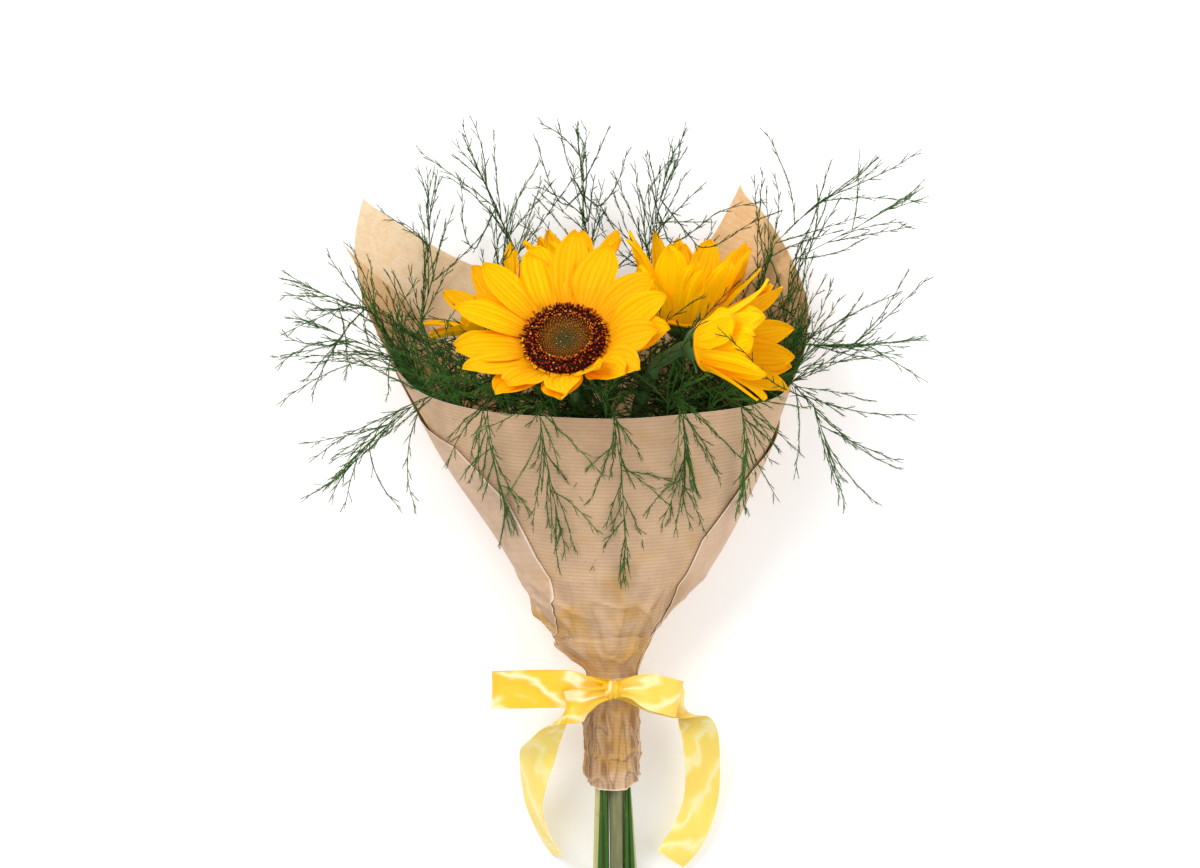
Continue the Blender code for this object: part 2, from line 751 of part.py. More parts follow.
def build_spray(spray, green):
    draw = random.Random(spray["seed"])
    tree = obstacle_tree()
    turn = math.radians(spray["slot"])
    spot = Vector((FERN_CIRCLE * math.cos(turn), 0, FERN_CIRCLE * math.sin(turn)))

    def level(y):
        return Vector((spot.x, y, AXIS_HEIGHT + AXIS_RISE * y + spot.z))

    foot = [Vector(p) for p in spray.get("foot", ())]
    low = foot + [level(spray["end"]), level(2)]
    inside = []
    for y in (14, 26, 62, 105):
        inside.append(wrap_point(lerp(spray["slot"], spray["angle"], min(1, y / 80)), y, -6.5))
    inside += [wrap_point(spray["angle"], y, -7.5) for y in spray["climb"]]
    if "over" in spray:
        rim_height = at(FRONT_RIM, spray["over"])
        inside.append(wrap_point(spray["over"], rim_height + 12, -6))
    outside = [wrap_point(*p) for p in spray.get("hang", ())] + [Vector(p) for p in spray.get("out", ())]
    upper = smooth_path([low[-1]] + inside + outside, 36.0)
    fixed = len(low)
    path = clear_path(tree, low[:-1] + upper, fixed, 1.7)
    radii = [FERN_FOOT] * len(foot) + [FERN_STEM] * 2
    radii += [max(0.5, FERN_STEM - 0.55 * k / len(path)) for k in range(len(path) - fixed)]
    pieces = [tube(path, radii, 3)]

    along = tangents(path)
    first = next(k for k, p in enumerate(path) if p.y > spray["leafy"])
    span = len(path) - first
    side_turn = draw.uniform(0, math.tau)
    for k in range(first, len(path)):
        for j in range(spray["dense"]):
            share = (k - first) / max(1, span)
            spread = 0.5 if k < len(path) - 1 else 0.3
            side = along[k].orthogonal().normalized()
            side_turn += 2.4
            side.rotate(Matrix.Rotation(side_turn, 3, along[k]))
            aim = along[k] + side * spread
            if j == 1 and (k + spray["seed"]) % 2:
                continue
            length = spray["branch"] * (1.0 - 0.55 * share) * draw.uniform(0.7, 1.15)
            root = path[k].lerp(path[k - 1], j / spray["dense"])
            pieces += shoot(tree, root, aim, length, spray["fall"] * draw.uniform(0.4, 1.2), draw)
    fused("fern_" + spray["name"], pieces, green)


# climb: heights at which the stem runs up inside the paper. over: where it crosses the rim.
# out: points it passes on from there. hang: (angle, height, distance from the paper) where it hangs over.
SPRAYS = [
    dict(name="left_top", slot=188, angle=176, climb=(150, 200), over=176,
         out=[(-180, 262, 102), (-194, 268, 100)]),
    dict(name="left_mid", slot=177, angle=160, climb=(150, 178), over=160,
         out=[(-166, 234, 112), (-189, 243, 104)]),
    dict(name="left_low", slot=166, angle=143, climb=(150, 170), over=141,
         out=[(-142, 187, 124), (-176, 152, 98)]),
    dict(name="right_top", slot=-36, angle=-38, climb=(150, 210, 265),
         out=[(112, 305, 52), (138, 330, 66), (158, 342, 70)]),
    dict(name="right_mid", slot=-19, angle=-20, climb=(150, 210, 255), over=-16,
         out=[(162, 312, 88), (187, 326, 86)]),
    dict(name="right_side", slot=25, angle=4, climb=(150, 195), over=4,
         out=[(160, 233, 110), (184, 235, 103)]),
    dict(name="right_low", slot=34, angle=24, climb=(150,), over=19,
         out=[(134, 194, 112), (144, 166, 100)], foot=[(15.6, -158, 23.2), (14.6, -132, 26.2)]),
    dict(name="top_mid", slot=250, angle=262, climb=(150, 210, 262),
         out=[(-16, 318, 18), (-20, 348, 38), (-23, 370, 52)]),
    dict(name="top_left", slot=240, angle=238, climb=(150, 210, 255),
         out=[(-66, 300, 28), (-80, 330, 48), (-90, 352, 60)]),
    dict(name="top_right", slot=260, angle=283, climb=(150, 210, 262),
         out=[(26, 305, 22), (32, 328, 40), (36, 348, 54)]),
    dict(name="far_left", slot=199, angle=212, climb=(150, 210, 250),
         out=[(-124, 284, 34), (-126, 308, 46), (-124, 329, 62)]),
    dict(name="front_left", slot=120, angle=122, climb=(150,), over=124,
         hang=[(125, 190, 14), (128, 160, 12), (133, 132, 8)], foot=[(-9.4, -156, 26.2), (-8.2, -132, 30)]),
    dict(name="front_left_mid", slot=96, angle=106, climb=(150,), over=108,
         hang=[(109, 190, 15), (110, 158, 12), (112, 118, 8)]),
    dict(name="front_mid", slot=108, angle=92, climb=(150,), over=92,
         hang=[(90, 190, 15), (87, 150, 12), (84, 100, 7)], foot=[(-3.6, -166, 25), (-3.6, -132, 28.6)]),
    dict(name="front_right_mid", slot=56, angle=70, climb=(150,), over=70,
         hang=[(69, 190, 15), (66, 165, 12), (63, 136, 9)]),
    dict(name="front_right", slot=45, angle=56, climb=(150,), over=52,
         hang=[(50, 192, 16), (44, 172, 15), (38, 147, 12)], foot=[(10.9, -162, 24), (10.4, -132, 27.6)]),
]


def build_ferns(green):
    for k, spray in enumerate(SPRAYS):
        early = spray["name"].startswith("front") or spray["name"].endswith("low")
        spray["seed"] = 104 + 7 * k
        spray["end"] = -66 if "foot" in spray else -58 - 3 * (k % 4)
        spray["leafy"] = 122 if early else 158
        spray["dense"] = 1 if spray["name"] in ("front_left_mid", "front_right_mid") else 2
        spray["branch"] = 52 if spray["name"].startswith("front") else 48
        spray["fall"] = 3.0
        build_spray(spray, green)


def main():
    clear_scene()
    kraft = material("kraft_paper", (0.62, 0.41, 0.23), 0.85)
    cream = material("pale_paper", (0.80, 0.58, 0.36), 0.85)
    satin = material("satin_ribbon", (0.95, 0.66, 0.03), 0.35)
    stem_green = material("stem_green", (0.12, 0.22, 0.05), 0.6)
    petal_yellow = material("petal_yellow", (1.0, 0.58, 0.0), 0.55)
    disc_brown = material("disc_brown", (0.13, 0.045, 0.012), 0.8)
    fern_green = material("fern_green", (0.02, 0.085, 0.02), 0.6)
    build_wrap(kraft, cream)
    build_ribbon(satin)
    for bloom in BLOOMS:
        build_bloom(bloom, (stem_green, petal_yellow, disc_brown))
    build_ferns(fern_green)


main()
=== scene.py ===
"""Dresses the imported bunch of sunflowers: ribbed kraft paper, satin bow, petals, discs, stems and fern.

Shapes are worked out in millimetres with the tie at Y = 0, and Shell.build sets them in the frame.
Angles round the bunch are degrees, from +X (right) over +Z (front, uppermost) to -X (left).
"""

import random
from bisect import bisect_left
from functools import partial
from math import copysign, cos, exp, pi, radians, sin, sqrt, tan, tau

import bpy
import numpy as np
from bpy.props import FloatProperty, FloatVectorProperty, IntProperty, PointerProperty
from mathutils import Matrix, Vector, noise
from mathutils.bvhtree import BVHTree


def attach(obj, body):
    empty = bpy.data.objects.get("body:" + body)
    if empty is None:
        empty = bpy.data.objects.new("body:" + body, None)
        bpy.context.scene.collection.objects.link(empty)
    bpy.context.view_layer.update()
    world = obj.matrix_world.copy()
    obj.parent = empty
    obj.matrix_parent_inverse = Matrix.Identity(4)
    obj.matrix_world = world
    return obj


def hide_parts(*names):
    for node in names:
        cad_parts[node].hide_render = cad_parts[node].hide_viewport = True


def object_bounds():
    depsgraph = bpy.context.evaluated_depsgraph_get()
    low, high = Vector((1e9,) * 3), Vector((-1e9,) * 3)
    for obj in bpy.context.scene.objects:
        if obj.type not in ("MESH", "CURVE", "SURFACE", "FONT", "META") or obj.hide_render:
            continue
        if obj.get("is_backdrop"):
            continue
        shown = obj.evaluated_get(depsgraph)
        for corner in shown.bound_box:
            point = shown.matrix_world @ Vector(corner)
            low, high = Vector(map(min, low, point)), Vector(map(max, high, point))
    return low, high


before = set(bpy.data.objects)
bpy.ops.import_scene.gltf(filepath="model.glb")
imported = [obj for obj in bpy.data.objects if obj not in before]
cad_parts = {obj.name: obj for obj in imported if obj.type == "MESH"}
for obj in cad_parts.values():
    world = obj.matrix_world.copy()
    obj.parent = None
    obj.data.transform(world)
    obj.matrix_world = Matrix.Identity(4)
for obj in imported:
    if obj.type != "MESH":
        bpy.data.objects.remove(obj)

CAD_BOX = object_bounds()

bl_info = {
    "name": "Bunch of sunflowers",
    "version": (1, 0, 0),
    "blender": (4, 5, 0),
    "location": "3D View > Sidebar > Bunch",
    "description": "Builds the wrapped bunch of sunflowers round its solid model",
    "category": "Object",
}

MM = 0.001
ORIGIN = Vector((-5.0, 215.0, 0.0))
# The middle line of the bunch: its height at the tie, and its rise for each mm up the bunch.
AXIS_HEIGHT = 44.0
AXIS_RISE = 0.14


# ---------------------------------------------------------------- settings


def number(name, description, default, low, high, kind=FloatProperty):
    return kind(name=name, description=description, default=default, min=low, max=high)


def tint(name, description, default):
    return FloatVectorProperty(
        name=name, description=description, subtype="COLOR", size=3, min=0.0, max=1.0, default=default
    )


class PaperSettings(bpy.types.PropertyGroup):
    thickness: number("Thickness", "Thickness of the paper in mm", 0.4, 0.1, 0.8)
    rib_pitch: number("Rib pitch", "Distance between the fine ribs in mm", 2.6, 1.0, 6.0)
    crumple: number("Crumple", "How deep the folds near the tie are", 1.0, 0.0, 1.5)
    kraft: tint("Kraft", "Colour of the ribbed outer face", (0.668, 0.448, 0.278))
    pale: tint("Pale side", "Colour of the inner face of the back sheet", (1.0, 0.8, 0.54))


class RibbonSettings(bpy.types.PropertyGroup):
    width: number("Width", "Width of the ribbon in mm", 25.0, 18.0, 26.0)
    satin: tint("Satin", "Colour of the ribbon", (0.9, 0.555, 0.012))


class BloomSettings(bpy.types.PropertyGroup):
    petal: tint("Petal", "Colour of the upper face of a petal", (0.93, 0.5, 0.0))
    petal_base: tint("Petal base", "Colour of a petal next to the disc", (0.93, 0.3, 0.003))
    vein_depth: number("Vein depth", "Depth of the long veins in mm", 0.55, 0.0, 0.6)
    florets: number("Florets", "Florets in the disc of the main bloom", 760, 200, 900, IntProperty)


class FernSettings(bpy.types.PropertyGroup):
    needle: number("Needle length", "Length of a typical needle in mm", 6.0, 3.0, 9.0)
    spacing: number("Needle spacing", "Distance between needles in mm", 1.5, 1.2, 5.0)
    green: tint("Fern", "Colour of the fern", (0.033, 0.112, 0.022))


class StageSettings(bpy.types.PropertyGroup):
    distance: number("Camera height", "Height above the table in m", 2.0, 1.0, 4.0)
    floor: tint("Floor", "Colour of the floor", (0.93, 0.93, 0.93))


class BunchSettings(bpy.types.PropertyGroup):
    paper: PointerProperty(type=PaperSettings)
    ribbon: PointerProperty(type=RibbonSettings)
    bloom: PointerProperty(type=BloomSettings)
    fern: PointerProperty(type=FernSettings)
    stage: PointerProperty(type=StageSettings)


# ---------------------------------------------------------------- finishes


class Level:
    """A shader value that can stand in an ordinary Python sum."""

    def __init__(self, finish, socket):
        self.finish = finish
        self.socket = socket

    def _math(self, operation, first, second=0.0):
        return self.finish.node("ShaderNodeMath", {"operation": operation}, {0: first, 1: second})

    def __add__(self, other):
        return self._math("ADD", self, other)

    __radd__ = __add__

    def __sub__(self, other):
        return self._math("SUBTRACT", self, other)

    def __rsub__(self, other):
        return self._math("SUBTRACT", other, self)

    def __mul__(self, other):
        return self._math("MULTIPLY", self, other)

    __rmul__ = __mul__

    def __pow__(self, other):
        return self._math("POWER", self, other)

    def wave(self):
        """The sine of the value, brought between 0 and 1."""
        return self._math("SINE", self) * 0.5 + 0.5


class Finish:
    """A Principled material whose varying values are written as expressions."""

    def __init__(self, name, constants):
        self.material = bpy.data.materials.new(name)
        self.material.use_nodes = True
        self.tree = self.material.node_tree
        self.shader = self.tree.nodes["Principled BSDF"]
        for socket, value in constants.items():
            self.shader.inputs[socket].default_value = value

    def node(self, kind, settings, sockets, output=0):
        """Adds a node: its settings first, then the values or links of its sockets."""
        made = self.tree.nodes.new(kind)
        for key, value in settings.items():
            if key == "stops":
                ramp = made.color_ramp
                while len(ramp.elements) < len(value):
                    ramp.elements.new(0.5)
                for element, (position, colour) in zip(ramp.elements, value):
                    element.position = position
                    element.color = (*colour, 1.0)
            else:
                setattr(made, key, value)
        for key, value in sockets.items():
            self.feed(made.inputs[key], value)
        return Level(self, made.outputs[output])

    def feed(self, socket, value):
        if isinstance(value, Level):
            self.tree.links.new(value.socket, socket)
        elif isinstance(value, tuple) and socket.type == "RGBA":
            socket.default_value = (*value, 1.0)
        else:
            socket.default_value = value

    def shade(self, **sockets):
        """Feeds the Principled shader, whose sockets are named with underscores, and gives the material."""
        for name, value in sockets.items():
            self.feed(self.shader.inputs[name.replace("_", " ")], value)
        return self.material

    def kept(self, name):
        """A value that the mesh keeps for each of its points."""
        return self.node("ShaderNodeAttribute", {"attribute_name": name}, {}, "Fac")

    def noise(self, scale, detail, rough, vector=None):
        vector = vector or self.node("ShaderNodeTexCoord", {}, {}, "Object")
        sockets = {"Vector": vector, "Scale": scale, "Detail": detail, "Roughness": rough}
        return self.node("ShaderNodeTexNoise", {}, sockets)

    def joined(self, x, y, z):
        return self.node("ShaderNodeCombineXYZ", {}, {0: x, 1: y, 2: z})

    def layers(self, colour, *over):
        """The colour with each pair of (share, colour) laid over it in turn."""
        settings = {"data_type": "RGBA", "blend_type": "MIX", "clamp_factor": True}
        for share, top in over:
            colour = self.node("ShaderNodeMix", settings, {0: share, 6: colour, 7: top}, 2)
        return colour

    def ramp(self, value, *stops):
        return self.node("ShaderNodeValToRGB", {"stops": stops}, {0: value})

    def between(self, value, low, high):
        """0 below low, 1 above high, smooth between."""
        sockets = {"Value": value, 1: low, 2: high, 3: 0.0, 4: 1.0}
        return self.node("ShaderNodeMapRange", {"interpolation_type": "SMOOTHSTEP"}, sockets)

    def bump(self, height, depth, strength):
        """A normal for a relief `depth` mm deep."""
        sockets = {"Strength": strength, "Distance": depth * MM, "Height": height}
        return self.node("ShaderNodeBump", {}, sockets, "Normal")


def darker(colour, share):
    return tuple(c * share for c in colour)


def kraft_finish(name, settings, kraft, inner, ribs):
    """Ribbed wrapping paper, golden near the tie, with painted shade in its creases and between its ribs,
    and pale edges partly painted as highlights. ribs: how dark the painted shade between the ribs is outside
    and inside.
    """
    f = Finish(name, {"Specular IOR Level": 0.35})
    rib, under, low, fold, edge = map(f.kept, ("rib", "under", "low", "fold", "edge"))
    rib = (rib * (tau / settings.rib_pitch)).wave()
    fibres, grain = f.noise(900.0, 4.0, 0.7), f.noise(55.0, 5.0, 0.6)
    golden, mottle = f.noise(38.0, 2.0, 0.5), f.noise(130.0, 4.0, 0.65)
    warm = tuple(value * keep for value, keep in zip(inner, (0.94, 0.81, 0.66)))
    outside = f.layers(
        kraft,
        (f.between(golden + low * 0.6, 0.58, 0.82), (0.6, 0.345, 0.1)),
        (f.between(grain, 0.35, 0.7), darker(kraft, 0.86)),
        # Painted shade in the grooves between the ribs, over their bump.
        ((rib**2.4) * ribs[0], (0.36, 0.215, 0.11)),
    )
    inside = f.layers(
        inner,
        (f.between(mottle, 0.4, 0.62) * 0.6, warm),
        # Painted shade between the ribs on the inner face.
        ((rib**2.0) * ribs[1], darker(inner, 0.6)),
    )
    base = f.layers(
        outside,
        (under, inside),
        (f.between(fibres, 0.45, 0.75) * 0.22, (0.3, 0.17, 0.08)),
        # Painted shade in the creases of the paper.
        (fold * 0.85, (0.2, 0.085, 0.022)),
        # Pale cut edge of the paper, partly a painted highlight along it.
        (edge * 0.75, (0.93, 0.84, 0.72)),
    )
    height = (1 - rib) * 0.85 * ribs[0] + fibres * 0.1 + grain * 0.25
    return f.shade(Base_Color=base, Roughness=0.62 + 0.22 * fibres, Normal=f.bump(height, 0.9, 0.55))


def satin_finish(settings):
    """Satin: deep yellow with slanting painted highlights and bands of painted shade, painted shade in its
    pleats, paler on the hanging ends.
    """
    f = Finish("satin_ribbon", {"Specular IOR Level": 0.6, "Coat Roughness": 0.2})
    along, across, pale, under, fold = map(f.kept, ("along", "across", "pale", "under", "fold"))
    sway = f.noise(1.0, 2.0, 0.5, f.joined(along * 0.028, across * 0.05, pale * 9.0))
    # Slanting streaks of painted highlight, standing for the satin's sheen.
    painted_sheen = (along * 0.16 - across * 0.21 + sway * 13.0).wave() ** 5.0
    # Slanting bands of painted shade between the painted highlights.
    shade = (along * 0.13 - across * 0.16 + sway * 10.0 + 2.2).wave() ** 2.0
    threads = (across * (tau * 2.6)).wave()
    base = f.layers(
        tuple(settings.satin),
        (pale, (0.985, 0.8, 0.18)),
        (shade * (1 - pale) * 0.55, (0.9, 0.44, 0.004)),
        (painted_sheen * (0.78 - pale * 0.25), (1.0, 0.94, 0.56)),
        (under * 0.3, (1.0, 0.8, 0.2)),
        # Painted shade in the pleats and wrinkles.
        (fold * 0.6, (0.78, 0.36, 0.005)),
    )
    normal = f.bump(threads * 0.05 + sway * 1.4, 1.0, 0.5)
    return f.shade(Base_Color=base, Roughness=0.36 - 0.12 * painted_sheen, Coat_Weight=0.3 * painted_sheen, Normal=normal)


def petal_finish(settings):
    """Yellow ray petals: long veins, orange next to the disc and on the back; veins and root are deepened
    with painted shade, and the back, which lets light through, also glows with painted light.
    """
    constants = {"Specular IOR Level": 0.05, "Subsurface Weight": 0.12, "Subsurface Scale": 0.004}
    f = Finish("petal_yellow", {**constants, "Emission Strength": 1.0})
    along, side, tone, under = map(f.kept, ("along", "side", "tone", "under"))
    veins = (side * 21.0 + tone * 9.0).wave()
    strand = f.noise(1.0, 4.0, 0.6, f.joined(side * 7.0, along * 1.5, tone * 30.0))
    patch = f.noise(1.0, 3.0, 0.6, f.joined(side * 1.6, along * 3.0, tone * 30.0))
    # root: deeper orange next to the disc on both faces, partly the petal's own colour and partly painted
    # shade.
    root = 1 - f.between(along, 0.0, 0.42)
    back = f.layers(
        (1.0, 0.64, 0.002),
        (f.between(strand, 0.35, 0.75), (1.0, 0.46, 0.001)),
        (root * 0.4, (0.9, 0.36, 0.004)),
    )
    colour = f.layers(
        tuple(settings.petal),
        (tone, (0.92, 0.43, 0.001)),
        (root * 0.62, tuple(settings.petal_base)),
        # Deeper orange along the veins, partly their own colour and partly painted shade in their grooves.
        ((veins**5.0) * (1 - along * 0.6) * 0.75, (0.84, 0.25, 0.001)),
        (f.between(strand, 0.5, 0.8) * 0.3, (0.98, 0.42, 0.002)),
        (f.between(patch, 0.45, 0.8) * 0.22, (0.96, 0.58, 0.004)),
        (under * 0.5, back),
    )
    return f.shade(
        Base_Color=colour,
        # The backs glow a little: painted light standing for light let through the petal.
        Emission_Color=f.layers((0.0, 0.0, 0.0), (under * 0.2, colour)),
        Roughness=0.46 + 0.18 * strand,
        Normal=f.bump(veins * 0.45 + strand * 0.7, settings.vein_depth, 0.8),
    )


def disc_finish():
    """The disc: maroon florets outside, amber tips, and an olive middle with pale painted glints on its
    buds.
    """
    f = Finish("disc_brown", {"Specular IOR Level": 0.12})
    ring, tip, tone = map(f.kept, ("ring", "tip", "tone"))
    body = f.ramp(
        ring + (tone - 0.5) * 0.1,
        (0.0, (0.04, 0.046, 0.016)),
        (0.24, (0.09, 0.05, 0.007)),
        (0.42, (0.15, 0.055, 0.004)),
        (0.6, (0.09, 0.022, 0.003)),
        (0.72, (0.045, 0.007, 0.003)),
        (1.0, (0.04, 0.005, 0.003)),
    )
    tips = f.ramp(
        ring + (tone - 0.5) * 0.16,
        (0.0, (0.25, 0.19, 0.03)),
        (0.2, (0.36, 0.2, 0.016)),
        (0.36, (0.8, 0.35, 0.012)),
        (0.58, (0.8, 0.26, 0.006)),
        (0.72, (0.52, 0.075, 0.004)),
        (1.0, (0.47, 0.04, 0.003)),
    )
    # Painted glints: pale spots on the tips of some buds in the middle.
    painted_glints = (1 - f.between(ring, 0.14, 0.42)) * f.between(tone, 0.82, 0.9) * f.between(tip, 0.5, 0.9)
    colour = f.layers(
        body,
        (f.between(tip, 0.45, 1.0), tips),
        (f.between(tone, 0.8, 0.95) * f.between(tip, 0.6, 1.0) * 0.8, (0.85, 0.44, 0.06)),
        (painted_glints * 0.85, (0.8, 0.78, 0.58)),
    )
    grain = f.noise(1500.0, 3.0, 0.6)
    return f.shade(Base_Color=colour, Roughness=0.45 + 0.35 * grain, Normal=f.bump(grain, 0.15, 0.5))


def stem_finish():
    """Ridged stems, green above and paler towards the cut end, as `tone` says."""
    f = Finish("stem_green", {"Specular IOR Level": 0.35})
    along, side, tone, cut = map(f.kept, ("along", "side", "tone", "cut"))
    streaks = f.noise(1.0, 4.0, 0.6, f.joined(side * 5.0, along * 0.03, tone * 20.0))
    blotch = f.noise(70.0, 4.0, 0.6)
    green = f.ramp(
        tone,
        (0.0, (0.04, 0.15, 0.035)),
        (0.42, (0.19, 0.185, 0.09)),
        (0.7, (0.6, 0.56, 0.24)),
        (1.0, (0.42, 0.45, 0.23)),
    )
    colour = f.layers(
        green,
        (f.between(streaks, 0.4, 0.75) * (0.12 + 0.5 * tone), (0.42, 0.44, 0.17)),
        (f.between(blotch, 0.55, 0.8) * 0.45, (0.045, 0.085, 0.02)),
        (cut, (0.56, 0.54, 0.3)),
    )
    return f.shade(Base_Color=colour, Roughness=0.38 + 0.3 * blotch, Normal=f.bump(streaks, 0.8, 0.55))


def fern_finish(settings):
    """Fern: dark green, lighter by `tone` and at the tips of the needles, with dry patches."""
    f = Finish("fern_green", {"Specular IOR Level": 0.12})
    tone, tip = map(f.kept, ("tone", "tip"))
    patch = f.noise(120.0, 2.0, 0.5)
    colour = f.layers(
        darker(settings.green, 0.45),
        (tone, (0.105, 0.27, 0.042)),
        (f.between(tip, 0.3, 1.0) * 0.4, (0.11, 0.25, 0.035)),
        (f.between(patch, 0.6, 0.8) * 0.35, (0.15, 0.2, 0.045)),
    )
    return f.shade(Base_Color=colour, Roughness=0.42 + 0.2 * patch)


def floor_finish(colour):
    """A white floor, lit a little from within so that it comes out as pale as paper."""
    constants = {"Specular IOR Level": 0.2, "Emission Color": (1.0, 1.0, 1.0, 1.0)}
    f = Finish("floor_white", {**constants, "Emission Strength": 0.16})
    mottle = f.noise(3.0, 3.0, 0.5)
    return f.shade(Base_Color=f.layers(colour, (mottle * 0.1, darker(colour, 0.97))), Roughness=0.75)


# ---------------------------------------------------------------- mesh helpers


def at(table, x):
    """Straight-line reading of a short table of (x, value) pairs."""
    return float(np.interp(x, *zip(*table)))


def table(fields, *rows):
    """A dictionary for each row. A row may leave out its last fields."""
    return [dict(zip(fields.split(), row)) for row in rows]


def lerp(a, b, t):
    return a + (b - a) * t


def ease(low, high, x):
    t = min(1.0, max(0.0, (x - low) / (high - low)))
    return t * t * (3 - 2 * t)


class Curve:
    """Reads a table of (x, value) pairs along a smooth line that never swings past them."""

    def __init__(self, *table):
        self.x, self.v = ([float(value) for value in column] for column in zip(*table))
        steps = [b - a for a, b in zip(self.x, self.x[1:])]
        rates = [(b - a) / h for a, b, h in zip(self.v, self.v[1:], steps)]
        self.slope = [rates[0]]
        for before, after, h, g in zip(rates, rates[1:], steps, steps[1:]):
            wa, wb = 2 * g + h, g + 2 * h
            self.slope.append((wa + wb) / (wa / before + wb / after) if before * after > 0 else 0.0)
        self.slope.append(rates[-1])

    def __call__(self, x):
        x = min(max(x, self.x[0]), self.x[-1])
        k = bisect_left(self.x, x, 1, len(self.x) - 1) - 1
        h = self.x[k + 1] - self.x[k]
        t = (x - self.x[k]) / h
        a = (1 + 2 * t) * (1 - t) ** 2
        b = t * t * (3 - 2 * t)
        sway = h * t * (1 - t) * ((1 - t) * self.slope[k] - t * self.slope[k + 1])
        return a * self.v[k] + b * self.v[k + 1] + sway


def smooth_path(points, step):
    """Points on a Catmull-Rom curve through the given ones, about `step` apart."""
    points = [Vector(p) for p in points]
    ends = [points[0] * 2 - points[1]] + points + [points[-1] * 2 - points[-2]]
    path = []
    for p0, p1, p2, p3 in zip(ends, ends[1:], ends[2:], ends[3:]):
        count = max(1, round((p2 - p1).length / step))
        for t in (j / count for j in range(count)):
            square = (2 * p0 - 5 * p1 + 4 * p2 - p3) * t * t
            cube = (3 * p1 - p0 - 3 * p2 + p3) * t * t * t
            path.append(0.5 * (2 * p1 + (p2 - p0) * t + square + cube))
    return path + [points[-1]]


def fine_polyline(path, radii, step):
    """The same run of straight lengths, cut finer."""
    points, sizes = [], []
    for a, b, thick, thin in zip(path, path[1:], radii, radii[1:]):
        count = max(1, round((b - a).length / step))
        points += [a.lerp(b, j / count) for j in range(count)]
        sizes += [lerp(thick, thin, j / count) for j in range(count)]
    return points + [path[-1]], sizes + [radii[-1]]


def tangents(path):
    last = len(path) - 1
    return [(path[min(k + 1, last)] - path[max(k - 1, 0)]).normalized() for k in range(last + 1)]


def across_share(column, columns):
    """Where a column stands across a strip, from -1 to 1."""
    return 2 * column / (columns - 1) - 1


def angles(sides):
    return [tau * k / sides for k in range(sides)]


def ring_faces(rings, sides):
    """Faces between rings of points, then one over the first ring and one over the last."""
    faces = []
    for first in range(0, (rings - 1) * sides, sides):
        for k in range(sides):
            a, b = first + k, first + (k + 1) % sides
            faces.append((a, b, b + sides, a + sides))
    last = (rings - 1) * sides
    return faces + [tuple(range(sides))[::-1], tuple(range(last, last + sides))]


def tube(path, radii, sides, ridge=0.0, ridges=7):
    """A closed round tube along a path, with long ridges if asked."""
    points = []
    runs = tangents(path)
    across = runs[0].orthogonal().normalized()
    for centre, along, radius in zip(path, runs, radii):
        across = (across - along * across.dot(along)).normalized()
        other = along.cross(across)
        for angle in angles(sides):
            r = radius * (1 + ridge * cos(ridges * angle))
            points.append(centre + (across * cos(angle) + other * sin(angle)) * r)
    return points, ring_faces(len(path), sides)


def turned(profile, sides, place, wave=lambda angle, height: 0.0):
    """A closed solid of revolution: profile of (radius, height) pairs, set by `place`."""
    points = []
    for radius, height in profile:
        for angle in angles(sides):
            r = radius + wave(angle, height)
            points.append(place(r * cos(angle), r * sin(angle), height))
    return points, ring_faces(len(profile), sides)


class Shell:
    """Points and faces gathered for one piece, with a few values kept for each point."""

    def __init__(self, *kept):
        self.points = []
        self.faces = []
        self.kept = {name: [] for name in kept}

    def add(self, points, faces, **values):
        first = len(self.points)
        self.points.extend(points)
        self.faces.extend(tuple(first + k for k in face) for face in faces)
        for name, store in self.kept.items():
            value = values.get(name, 0.0)
            store.extend(value if isinstance(value, list) else [value] * len(points))

    def add_plate(self, rows, columns, cell, **values):
        """Adds a closed plate; cell(row, column) gives an upper point, a lower one and what both keep."""
        cells = [cell(r, c) for r in range(rows) for c in range(columns)]
        count = len(cells)
        corners = [r * columns + c for r in range(rows - 1) for c in range(columns - 1)]
        faces = [(a, a + 1, a + columns + 1, a + columns) for a in corners]
        faces += [tuple(count + k for k in face[::-1]) for face in faces]
        rim = list(range(columns))
        rim += [r * columns + columns - 1 for r in range(1, rows)]
        rim += [(rows - 1) * columns + c for c in range(columns - 2, -1, -1)]
        rim += [r * columns for r in range(rows - 2, 0, -1)]
        faces += [(b, a, a + count, b + count) for a, b in zip(rim, rim[1:] + rim[:1])]
        for name in cells[0][2]:
            values[name] = [kept[name] for _upper, _lower, kept in cells] * 2
        values["under"] = [0.0] * count + [1.0] * count
        self.add([upper for upper, *_ in cells] + [lower for _, lower, _ in cells], faces, **values)

    def build(self, name, finish, slot, nodes, sharp=None):
        """Makes the object, sets it in the frame and hides the solids that it stands for."""
        mesh = bpy.data.meshes.new(name)
        placed = (np.array([tuple(p) for p in self.points]) - np.array(ORIGIN)) * MM
        mesh.from_pydata(placed.tolist(), [], self.faces)
        mesh.polygons.foreach_set("use_smooth", [True] * len(mesh.polygons))
        for key, values in self.kept.items():
            store = mesh.attributes.new(key, "FLOAT", "POINT").data
            store.foreach_set("value", np.array(values, dtype=np.float32))
        mesh.validate()
        mesh.update()
        if sharp is not None:
            mesh.set_sharp_from_angle(angle=radians(sharp))
        mesh.materials.append(finish)
        obj = bpy.data.objects.new(name, mesh)
        bpy.context.scene.collection.objects.link(obj)
        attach(obj, "root")
        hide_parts(*nodes)
        return obj


# ---------------------------------------------------------------- paper

